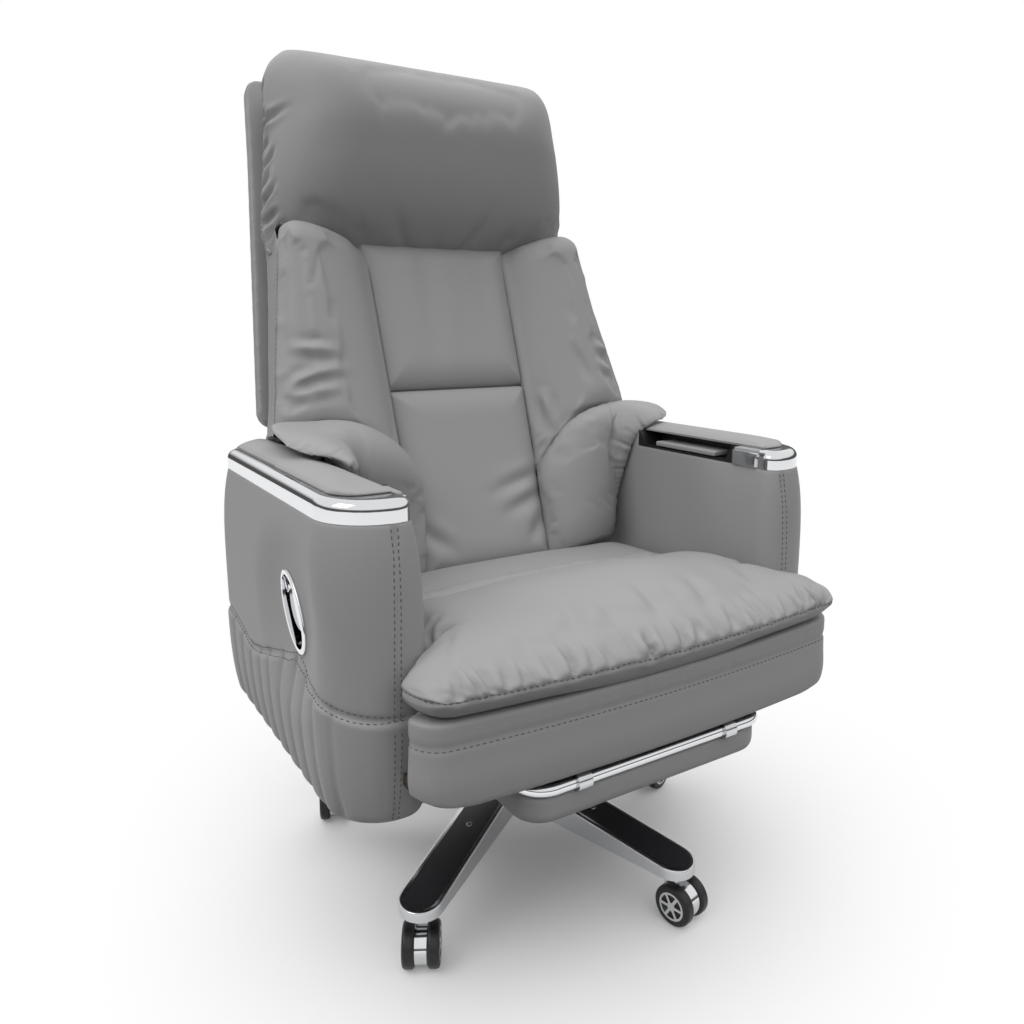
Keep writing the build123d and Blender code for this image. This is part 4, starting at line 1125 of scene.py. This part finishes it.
@dataclass
class Arm:
    """One arm: barrel-sided body with a quilted lower panel, leather pad and lined side slot, in mm."""

    side: Side
    outer: float = 380.0
    inner: float = 285.0
    front: float = -265.0
    corner: float = 70.0
    channel: float = 44.5
    first_channel: float = -195.0
    trim_bottom: float = 627.0
    barrel: float = 12.0
    trim_cap: float = 34.0
    pad_inner: float = 300.0
    pad_outer: float = 363.5
    pad_front: float = -230.5
    pull: tuple[float, float] = (-109.0, 493.0)
    front_seam: float = 308.0
    quilt_height: float = 10.0
    quilt_sink: float = 7.0
    far: float = 999.0

    def outline(self) -> np.ndarray:
        """The left arm's outer plan from its rear to its inner front corner.

        Returns:
            Points (x, y).
        """
        bend = quarter(self.outer - self.corner, self.front, self.corner, 14)
        return resample(np.vstack([[(self.outer, 205.0)], bend, [(300.0, self.front)]]), 200)

    def wave(self) -> np.ndarray:
        """The S-shaped seam above the quilted panel, on the left arm.

        Returns:
            Points in mm.
        """
        plan = self.outline()
        run = run_along(plan)
        knots = spline(
            [(0, 416), (61, 407), (114, 396), (134, 391), (176, 398), (236, 415), (282, 427), (322, 436),
             (345, 430), (368, 423), (400, 420), (440, 412), (480, 405), (520, 402)],
            120,
        )
        return np.column_stack([plan, np.interp(run, knots[:, 0], knots[:, 1])])

    def channels(self) -> list[np.ndarray]:
        """The quilted panel's upright seams, on the left arm.

        Returns:
            A line for each seam.
        """
        wave = self.wave()
        lines = []
        for number in range(-1, 10):
            y = self.first_channel + number * self.channel
            off_side = np.where(wave[:, 0] < self.outer - 8, self.far, 0)
            spot = wave[np.argmin(np.abs(wave[:, 1] - y) + off_side)]
            lines.append(np.array([(spot[0], spot[1], z) for z in np.linspace(274, spot[2] - 2, 24)]))
        return lines

    def quilt(self, piece: bpy.types.Object) -> tuple[np.ndarray, np.ndarray]:
        """Shape the body: barrel sides, quilted panel and pressed seams.

        Args:
            piece: The body's fine copy.
        Returns:
            The S-shaped seam and the upright seam on the front.
        """
        sign = (self.side.value, 1, 1)
        wave = self.wave() * sign
        points = points_of(piece)
        x, y, z = np.abs(points[:, 0]), points[:, 1], points[:, 2]
        rise = np.clip((z - 270) / (self.trim_bottom - 270), 0, 1)
        inner = ease((self.inner + 30 - x) / 20) * (1 - ease((-60 - y) / 120))
        pull = np.full(len(y), self.far)
        if self.side is Side.RIGHT:
            pull = np.hypot(y - self.pull[0], z - self.pull[1])
        swell(piece, self.barrel * (1 - (2 * rise - 1) ** 4) * (1 - inner) * ease((pull - 48) / 90))
        points = points_of(piece)
        _, place = along(points * (1, 1, 0), wave * (1, 1, 0))
        run = run_along(wave * (1, 1, 0))
        level = np.interp(place, run, wave[:, 2])
        face = np.clip(ease((x - 340) / 20) + ease((-235 - y) / 10), 0, 1)
        below = ease((level - z) / 10) * face
        nearest = np.full(len(points), 1e3)
        lines = [line * sign for line in self.channels()]
        for line in lines:
            nearest = np.minimum(nearest, along(points * (1, 1, 0), line * (1, 1, 0.0001))[0])
        round_share = np.sqrt(np.clip(1 - (1 - np.clip(nearest / (self.channel / 2), 0, 1)) ** 2, 0, 1))
        swell(piece, (self.quilt_height * round_share - self.quilt_sink) * below * ease((z - 268) / 16))
        spread = 1.0 + self.barrel / self.outer
        seam = wave * (spread, spread, 1)
        level = np.linspace(272, 624, 60)
        lean = 6 * (600 - level) / 200
        across = self.front_seam - self.side.value * 5 + lean
        upright = np.column_stack([across, np.full(60, self.front - 4), level]) * sign
        groove(piece, seam, 4.5, 3.0)
        groove(piece, upright, 3.5, 2.4)
        for line in lines:
            groove(piece, on_skin(piece, line, 0.0)[0], 4.5, 2.6)
        return seam, upright

    def build(self) -> None:
        """Model the arm's body, pad, slot lining and trim plate."""
        word, sign = self.side.word, self.side.value
        piece = copied(f"arm_body_{word}", f"arm_cover_{word}", 3.2, 6)
        seam, upright = self.quilt(piece)
        settle(piece, "seat", [f"arm_body_{word}"])
        apart = np.array((3.5 * sign, 0, 0))
        rows = [seam + (0, 0, 4.0), seam - (0, 0, 3.5), upright + apart, upright - apart]
        settle_thread(THREAD.sew(f"arm_stitches_{word}", piece, rows), "seat")
        self.pad()
        self.lining()
        self.trim_plate()

    def pad(self) -> None:
        """Model the arm's crowned pad, thin at its edge."""
        word = self.side.word
        pad = copied(f"arm_pad_{word}", f"arm_pad_cover_{word}", 2.6, 4)
        points = points_of(pad)
        low, high = points[:, 2].min(), points[:, 2].max()
        x, y = np.abs(points[:, 0]), points[:, 1]
        x = np.where(x < self.pad_inner, self.pad_inner + 0.1 * (x - self.pad_inner), x)
        edge = np.minimum(np.minimum(x - self.pad_inner, self.pad_outer - x), 0.35 * (y - self.pad_front))
        share = (points[:, 2] - low) / (high - low)
        points[:, 0] = self.side.value * x
        points[:, 2] = low + share * (3.5 + 10.5 * bulge(np.clip(edge, 0, None), 44.0, 2.0, 0.8))
        place_points(pad, points)
        settle(pad, "seat", [f"arm_pad_{word}"])

    def lining(self) -> None:
        """Line the middle of the side slot with grey leather."""
        low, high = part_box(f"arm_pocket_{self.side.word}")
        length = high[1] - low[1]
        middle = np.array([(low[k] + high[k]) / 2 for k in range(3)]) / MM
        size = np.array([(high[0] - low[0]) * 0.9, length * 0.62, 8 * MM]) / MM
        middle[2] = low[2] / MM + 8
        settle(block(f"slot_lining_{self.side.word}", middle, size), "seat", [])

    def trim_plate(self) -> None:
        """Carry the bright trim on along the inner side, from the front cap to the slot."""
        word = self.side.word
        low, high = (np.array(spot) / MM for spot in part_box(f"arm_trim_{word}"))
        slot = np.array(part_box(f"arm_pocket_{word}")[0]) / MM
        start, end = low[1] + self.trim_cap - 2, slot[1]
        middle = (self.side.value * (self.inner + 1), (start + end) / 2, (low[2] + high[2]) / 2 - 2)
        size = (9.0, end - start, high[2] - low[2] - 4)
        piece = block(f"arm_trim_plate_{word}", np.array(middle), np.array(size))
        shade_smooth(piece)
        FINISHES["bright_steel"].dress(piece)
        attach(piece, "seat")


@dataclass
class HeadPillow:
    """Head pillow: a plump bolster whose cover is gathered into a seam along its rear edge, in mm."""

    foot: float = 518.0
    top: float = 847.0
    foot_half: float = 276.0
    top_half: float = 229.0
    seam: float = -52.0
    side: float = 12.0
    ear: float = 5.0
    corner: float = 18.0
    notch: tuple[tuple[float, float, float], ...] = (
        (204.0, 851.0, -34.0), (204.0, 846.0, 0.0), (200.0, 820.0, 44.0),
    )
    puckers: tuple[tuple[float, float, float], ...] = (
        (787.0, 30.0, 8.0), (746.0, 34.0, -6.0), (729.0, 66.0, -16.0),
        (694.0, 30.0, 5.0), (660.0, 42.0, 6.0), (628.0, 28.0, 14.0), (600.0, 40.0, 20.0),
        (572.0, 34.0, 6.0),
    )

    def half_width(self, rise: np.ndarray) -> np.ndarray:
        """Half width of the pillow's seam.

        Args:
            rise: Places along the back.
        Returns:
            Half widths in mm.
        """
        share = np.clip((rise - 570) / (self.top - 570), 0, 1)
        return self.foot_half + (self.top_half - self.foot_half) * share

    def panel(self, rows: int, columns: int, front: bool) -> np.ndarray:
        """The pillow's front or rear panel.

        Args:
            rows: Points along.
            columns: Points across.
            front: True for the crowned front.
        Returns:
            Points by row and column.
        """
        across = crowded(columns, 0.9)
        share = np.linspace(0, 1, rows)[:, None]
        slide = 0.12 * np.sin(2 * math.pi * share) / (2 * math.pi)
        edge = self.foot + (self.top - self.foot) * (share - slide)
        half = self.half_width(edge) - self.corner * np.clip((share - 0.9) / 0.1, 0, 1) ** 2
        inside = (1 - np.abs(across)) * half
        rim = self.seam + 24 * (1 - ease(share / 0.06))
        ear = self.ear * ease((share - 0.84) / 0.12) * np.exp(-((inside / 24) ** 2))
        if front:
            middle = spline(
                [(518, -28), (531, -8), (548, 17), (575, 47), (610, 74), (650, 96), (690, 114), (725, 121),
                 (758, 113), (787, 87), (814, 51), (836, 16), (845, -20), (847, -52)],
                rows,
            )
            upper = ease((edge - 680) / 110)
            height = bulge(inside, 135 - 95 * upper, 3.0, 0.75 - 0.25 * upper)
            rise = edge + ear + (middle[:, :1] - edge) * height
            out = rim + (middle[:, 1:] - rim) * height
            swelled = self.side * 4 * height * (1 - height) * ease(share / 0.4)
            swelled = swelled * (1 - ease((share - 0.76) / 0.2))
            x = across * half + np.sign(across) * swelled
        else:
            rise, x = edge + ear, across * half
            near = np.minimum(inside, np.minimum(edge - self.foot, self.top - edge))
            out = rim - (rim - self.seam + 20.0) * bulge(near, 26.0)
        return BACK.world(x, rise, out)

    def build(self) -> None:
        """Model the pillow with its gathered seam, its folds and its eared corners."""
        rows, columns = 70, 100
        front = self.panel(rows, columns, True)
        piece = sewn("head_pillow_cover", front, self.panel(rows, columns, False))
        rim = resample(rim_of(front), 220)
        inflate(piece, 6.0, along(points_of(piece), rim)[0] < 6)
        refine(piece)
        gather(piece, rim, 34.0, 34.0, 2.4, 31)
        for sign in (-1, 1):
            for rise, length, lift in self.puckers:
                start = float(self.half_width(np.array(rise)))
                line = [
                    (start, rise, -46.0),
                    (start - 0.1 * length, rise + 0.3 * lift, -46.0 + 0.7 * length),
                    (start - 0.6 * length, rise + lift, -46.0 + 1.6 * length),
                ]
                shift = 0 if sign < 0 else 21
                path = [BACK.world(sign * x, s - shift, d) for x, s, d in line]
                crease(piece, path, 5.5, 6.5)
            notch = [BACK.world(sign * x, s, d) for x, s, d in self.notch]
            crease(piece, notch, 7.0, 6.0)
        settle(piece, "back", ["head_pillow"])
        settle_thread(THREAD.sew("head_pillow_stitches", piece, [rim]), "back")


@dataclass
class CentrePad:
    """One of the two panels up the middle of the back, in mm."""

    name: str
    node: str
    start: float
    end: float
    start_half: float
    end_half: float
    crown: float
    ripple: float
    creases: tuple[tuple[tuple[float, float], ...], ...] = ()

    def build(self) -> None:
        """Model the panel, with soft upright ripples or slanting folds where it has them."""
        rows, columns = 90, 90
        share = np.linspace(0, 1, rows)[:, None]
        rise = self.start + (self.end - self.start) * share
        across = np.linspace(-1, 1, columns)
        half = self.start_half + (self.end_half - self.start_half) * share
        x = across * half
        inside = np.minimum((1 - np.abs(across)) * half, np.minimum(rise - self.start, self.end - rise))
        out = -16 + (self.crown + 16) * bulge(inside, 58.0, 2.4, 0.6)
        waves = np.sin(x / 44 * math.pi + 0.6) + 0.5 * np.sin(x / 27 * math.pi + 2.0)
        out = out + self.ripple * waves * ease(inside / 40) * ease((rise - self.start) / 160)
        back = np.where(inside > 0, -70.0, -16.0) + 0 * out
        piece = sewn(self.name, BACK.world(x, rise, out), BACK.world(x, rise, back))
        for line in self.creases:
            crease(piece, [BACK.world(px, ps, self.crown - 2) for px, ps in line], 11.0, 4.2, 0.5)
        settle(piece, "back", [self.node])


@dataclass
class Wing:
    """One long tapered side bolster of the back."""

    side: Side
    creases: tuple[tuple[tuple[float, float], ...], ...]

    def grids(self) -> tuple[np.ndarray, np.ndarray]:
        """The left wing's front and rear panels.

        Returns:
            Points of both panels by row and column.
        """
        rows, columns = 84, 46
        low = spline([(124, 112), (150, 146), (190, 180), (233, 200), (285, 216), (326, 224)], columns)
        high = spline(
            [(127, 528), (165, 541), (206, 551), (240, 556), (257, 553), (268, 543), (275, 522)],
            columns,
        )
        v = np.linspace(0, 1, rows)[:, None]
        u = np.linspace(0, 1, columns)[None, :]
        plan = low * (1 - v[..., None]) + high * v[..., None]
        x, rise = plan[..., 0], plan[..., 1]
        section = spline(
            [(0, -8), (0.06, 10), (0.22, 32), (0.42, 46), (0.62, 52), (0.8, 48), (0.93, 34), (1.0, 14)],
            60,
        )
        cross = np.interp(u, section[:, 0], section[:, 1])
        ends = bulge(v, 0.16, 2.2, 0.5) * bulge(1 - v, 0.14, 2.2, 0.5)
        floor = -30 + 42 * u
        out = floor + (cross - floor) * ends
        near = np.minimum(np.minimum(u, 1 - u) * 5, np.minimum(v, 1 - v) * 25)
        depth = ease(near)
        rear = out * (1 - depth) - 70 * depth
        edge = np.interp(u, [0, 0.12, 0.3, 0.7, 0.88, 1.0], [0, 0.0, 0.2, 0.9, 1.0, 1.0])
        spread = x[:, :1] + (x[:, -1:] - x[:, :1]) * edge
        return BACK.world(x, rise, out), BACK.world(spread, rise, rear)

    def build(self) -> None:
        """Model the wing with its folds and its stitched outer seam."""
        front, rear = self.grids()
        sign = (self.side.value, 1, 1)
        word = self.side.word
        piece = sewn(f"wing_cover_{word}", front * sign, rear * sign)
        outer = front[4:-6, -1] * sign
        arc = front[0, 4:-4] * sign
        ring = rim_of(front) * sign
        inflate(piece, 5.0, along(points_of(piece), ring)[0] < 9)
        refine(piece)
        gather(piece, outer, 70.0, 26.0, 1.2, 41 + self.side.value)
        gather(piece, arc, 46.0, 44.0, 2.2, 45 + self.side.value)
        for line in self.creases:
            crease(piece, [BACK.world(px, ps, 44.0) for px, ps in line], 8.0, 5.0, 0.4)
        settle(piece, "back", [f"wing_{word}"])
        settle_thread(THREAD.sew(f"wing_stitches_{word}", piece, [outer]), "back")


@dataclass
class Lobe:
    """One ear-shaped lobe at the foot of a wing, with a flap that lies on the arm's pad, in mm."""

    side: Side
    flap: tuple[tuple[float, float, float], ...]
    tip: tuple[float, float, float]
    front_fill: float = 44.0
    front_thinned: float = 25.0
    rear_fill: float = 20.0
    rear_thinned: float = 17.0

    def sides(self, count: int) -> tuple[np.ndarray, np.ndarray, np.ndarray, np.ndarray]:
        """The lobe's four edges as on the left side.

        Args:
            count: Points on each edge.
        Returns:
            Bottom, top, inner and outer edges.
        """
        root = BACK.world(122.0, 134.0, -6.0)
        foot = BACK.world(116.0, -30.0, -12.0)
        heel = np.array([276.0, 112.0, 436.0])
        bottom = spline([foot, (200, 78, 446), heel], count)
        arc = [(152.0, 168.0, 10.0), (190.0, 199.0, 18.0), (235.0, 219.0, 20.0), (290.0, 233.0, 14.0)]
        over_arm = [(330, 116, 697), (347, 70, 694), self.tip]
        top = spline([root, *(BACK.world(*spot) for spot in arc), *over_arm], count)
        inner = spline([foot, BACK.world(119.0, 62.0, -9.0), root], count)
        outer = spline([heel, *self.flap, self.tip], count)
        return bottom, top, inner, outer

    def build(self) -> None:
        """Model the lobe as a stuffed patch between its edges."""
        count = 64
        bottom, top, inner, outer = self.sides(count)
        u = np.linspace(0, 1, count)[None, :, None]
        v = np.linspace(0, 1, count)[:, None, None]
        ruled = bottom[None] * (1 - v) + top[None] * v + inner[:, None] * (1 - u) + outer[:, None] * u
        corners = (
            bottom[0] * (1 - u) * (1 - v) + bottom[-1] * u * (1 - v) + top[0] * (1 - u) * v + top[-1] * u * v
        )
        middle = ruled - corners
        out = np.cross(np.gradient(middle, axis=1), np.gradient(middle, axis=0))
        out = out / np.maximum(np.linalg.norm(out, axis=2, keepdims=True), 1e-9)
        across, along_rise = np.minimum(u, 1 - u) * 190, np.minimum(v, 1 - v) * 230
        height = bulge(across, 95.0, 2.2, 0.5) * bulge(along_rise, 80.0, 2.2, 0.5)
        over_arm = ease((middle[..., :1] - 225) / 110)
        front = middle + out * height * (self.front_fill - self.front_thinned * over_arm)
        rear = middle - out * height * (self.rear_fill - self.rear_thinned * over_arm)
        sign = (self.side.value, 1, 1)
        word = self.side.word
        piece = sewn(f"lobe_cover_{word}", front * sign, rear * sign)
        seam = outer * sign
        ring = np.concatenate([bottom, outer[1:], top[::-1][1:], inner[::-1][1:]]) * sign
        near = along(points_of(piece), ring)[0] < 9
        inflate(piece, 4.0, near | (np.abs(points_of(piece)[:, 0]) > 278))
        refine(piece)
        gather(piece, seam, 17.0, 26.0, 2.8, 51 + self.side.value)
        settle(piece, "back", [f"lobe_{word}"])


@dataclass
class BackShell:
    """The stitched rear panel of the back, drawn up at its top, in mm."""

    crown: float = 20.0
    crown_start: float = 700.0
    crown_run: float = 130.0

    def build(self) -> None:
        """Model the shell with its top drawn up and a stitched border."""
        piece = copied("back_shell", "back_shell_cover", 4.0, 8)
        points = points_of(piece)
        up = BACK.world(0, 1, 0) - BACK.world(0, 0, 0)
        rise = (points - BACK.world(0, 0, 0)) @ up
        share = ease((rise - self.crown_start) / self.crown_run)
        place_points(piece, points + self.crown * share[:, None] * up)
        settle(piece, "back", ["back_shell"])
        self.sew(piece)

    def sew(self, piece: bpy.types.Object) -> None:
        """Sew the border.

        Args:
            piece: The shell's cover.
        """
        half = [(240, 24), (240, 240), (286, 290), (252, 760), (225, 790)]
        ring = [(-x, rise) for x, rise in half] + [(0, 792)] + half[::-1]
        line = spline(ring, 200)
        path = BACK.world(line[:, 0], line[:, 1], np.full(len(line), -134.0))
        settle_thread(THREAD.sew("back_shell_stitches", piece, [path]), "back")


@dataclass
class FootrestPad:
    """Padded board of the footrest."""

    def build(self) -> None:
        """Model the pad."""
        piece = copied("footrest_pad", "footrest_pad_cover", 4.0, 10)
        points = points_of(piece)
        middle = np.exp(-(((points[:, 2] - 252) / 20) ** 2))
        swell(piece, 1.5 * middle)
        settle(piece, "footrest", ["footrest_pad"])


class Hardware:
    """The CAD nodes that stay: each takes the finish of its material slot."""

    def dress(self) -> None:
        """Give every CAD node its finish."""
        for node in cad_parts.values():
            for number, old in enumerate(node.data.materials):
                slot = old.name.split(".")[0]
                node.data.materials[number] = FINISHES[slot].material()


@dataclass
class Studio:
    """Camera, light and floor, in metres and degrees."""

    place: tuple[float, float, float] = (-0.670, -1.101, 0.846)
    yaw: float = 32.4
    pitch: float = 11.15
    lens: float = 29.77
    shift: tuple[float, float] = (-0.0154, -0.0258)
    key_place: tuple[float, float, float] = (-2.5, -0.3, 2.7)
    key_size: float = 1.6
    key_power: float = 15.0
    sky: tuple[float, float] = (0.1, 1.55)
    horizon: tuple[float, float] = (0.12, 0.3)
    mirror: tuple[float, float] = (0.1, 1.0)
    fade: tuple[float, float] = (0.1, 1.1)
    floor_shades: tuple[float, float] = (0.95, 0.09)

    def build(self) -> None:
        """Set up the studio."""
        self.camera()
        self.world()
        self.floor()
        self.lamp("key_light", self.key_place, self.key_size, self.key_power)
        bpy.context.scene.view_settings.view_transform = "Standard"

    def camera(self) -> None:
        """Set the camera as the photo was taken."""
        data = bpy.data.cameras.new("camera")
        data.lens = self.lens
        data.sensor_width = 36.0
        data.shift_x, data.shift_y = self.shift
        data.clip_start = 0.02
        camera = bpy.data.objects.new("camera", data)
        camera.location = self.place
        camera.rotation_euler = (math.radians(90 - self.pitch), 0.0, math.radians(-self.yaw))
        bpy.context.scene.collection.objects.link(camera)
        bpy.context.scene.camera = camera

    def lamp(self, name: str, place: tuple[float, float, float], size: float, power: float) -> None:
        """Hang a square soft light that faces the chair.

        Args:
            name: The light's name.
            place: Its place in metres.
            size: Its width in metres.
            power: Its power in watts.
        """
        data = bpy.data.lights.new(name, "AREA")
        data.size = size
        data.energy = power
        lamp = bpy.data.objects.new(name, data)
        lamp.location = place
        aim = Vector((0.0, 0.0, 0.6)) - Vector(place)
        lamp.rotation_euler = aim.to_track_quat("-Z", "Y").to_euler()
        bpy.context.scene.collection.objects.link(lamp)

    def world(self) -> None:
        """White to the camera, brighter overhead, with a dark horizon for the chrome to mirror."""
        world = bpy.data.worlds.new("studio_world")
        world.use_nodes = True
        tree = world.node_tree
        tree.nodes.clear()
        path = add_node(tree, "ShaderNodeLightPath")
        way = add_node(tree, "ShaderNodeTexCoord").outputs["Generated"]
        rise = add_node(tree, "ShaderNodeSeparateXYZ", {0: way}).outputs["Z"]
        dome = ranged(tree, rise, self.sky[0], self.sky[1], smooth=True)
        band = ranged(tree, rise, self.mirror[0], self.mirror[1], self.horizon, smooth=True)
        soft, mirrored, white = (
            add_node(tree, "ShaderNodeBackground", {"Color": (1, 1, 1, 1), "Strength": power}).outputs[0]
            for power in (dome, band, 1.0)
        )
        glossy, camera = path.outputs["Is Glossy Ray"], path.outputs["Is Camera Ray"]
        shine = add_node(tree, "ShaderNodeMixShader", {0: glossy, 1: soft, 2: mirrored})
        mix = add_node(tree, "ShaderNodeMixShader", {0: camera, 1: shine.outputs[0], 2: white})
        add_node(tree, "ShaderNodeOutputWorld", {"Surface": mix.outputs[0]})
        bpy.context.scene.world = world

    def floor(self) -> None:
        """A pale floor that turns into the white surround away from the chair."""
        bpy.ops.object.select_all(action="DESELECT")
        bpy.ops.mesh.primitive_plane_add(size=16.0)
        floor = bpy.context.object
        floor.name = "studio_floor"
        made = bpy.data.materials.new("pale_floor")
        made.use_nodes = True
        tree = made.node_tree
        tree.nodes.clear()
        place = add_node(tree, "ShaderNodeTexCoord").outputs["Object"]
        far = add_node(tree, "ShaderNodeVectorMath", {0: place}, operation="LENGTH")
        share = ranged(tree, far.outputs["Value"], 0.0, 1.0, self.fade, smooth=True)
        path = add_node(tree, "ShaderNodeLightPath")
        seen = path.outputs["Is Camera Ray"]
        shade = ranged(tree, path.outputs["Is Diffuse Ray"], self.floor_shades[0], self.floor_shades[1])
        paint = add_node(tree, "ShaderNodeBsdfDiffuse", {"Color": shade})
        glow = add_node(tree, "ShaderNodeEmission", {"Color": (1, 1, 1, 1), "Strength": 1.0})
        fade = add_node(tree, "ShaderNodeMath", {0: share, 1: seen}, operation="MULTIPLY")
        mix = add_node(
            tree,
            "ShaderNodeMixShader",
            {0: fade.outputs[0], 1: paint.outputs[0], 2: glow.outputs[0]},
        )
        add_node(tree, "ShaderNodeOutputMaterial", {"Surface": mix.outputs[0]})
        floor.data.materials.append(made)


# Folds and flaps that differ from side to side, in mm across and along the back
LOWER_CREASES = (
    ((130, 126), (55, 107), (-5, 88)),
    ((122, 91), (70, 72), (20, 51)),
    ((112, 44), (92, 24), (70, 0)),
    ((-120, 60), (-92, 32), (-44, 0)),
)
WING_CREASES = {
    Side.RIGHT: (
        ((-312, 283), (-283, 294), (-236, 305), (-188, 309)),
        ((-308, 274), (-270, 272), (-214, 280)),
        ((-288, 345), (-250, 338), (-212, 334)),
    ),
    Side.LEFT: (
        ((300, 326), (278, 332), (252, 342)),
        ((296, 286), (275, 296), (250, 310)),
        ((128, 258), (134, 225), (146, 186)),
    ),
}
FLAPS = {
    Side.RIGHT: (
        (
            (279, 92, 500), (281, 60, 560), (283, 4, 612), (285, -58, 640),
            (290, -92, 660), (308, -76, 672), (332, -38, 674),
        ),
        (347.0, 4.0, 681.0),
    ),
    Side.LEFT: (
        ((279, 96, 500), (279, 82, 548), (278, 62, 600), (284, 46, 640), (304, 26, 666), (328, 22, 674)),
        (347.0, 38.0, 682.0),
    ),
}


def main() -> None:
    """Build the chair's looks piece by piece."""
    logging.basicConfig(level=logging.INFO, format="%(name)s: %(message)s")
    Hardware().dress()
    pieces = [
        SeatCushion(),
        SeatBox(),
        *(Arm(side) for side in Side),
        HeadPillow(),
        CentrePad(
            "back_cover_lower",
            "back_pad_lower",
            start=-28.0,
            end=284.0,
            start_half=122.0,
            end_half=131.0,
            crown=8.0,
            ripple=0.0,
            creases=LOWER_CREASES,
        ),
        CentrePad(
            "back_cover_upper",
            "back_pad_upper",
            start=284.0,
            end=536.0,
            start_half=131.0,
            end_half=137.0,
            crown=6.0,
            ripple=1.6,
        ),
        *(Wing(side, WING_CREASES[side]) for side in Side),
        *(Lobe(side, *FLAPS[side]) for side in Side),
        BackShell(),
        FootrestPad(),
    ]
    for piece in pieces:
        piece.build()
        LOG.info("built %s", type(piece).__name__)
    Studio().build()


if __name__ == "__main__":
    main()
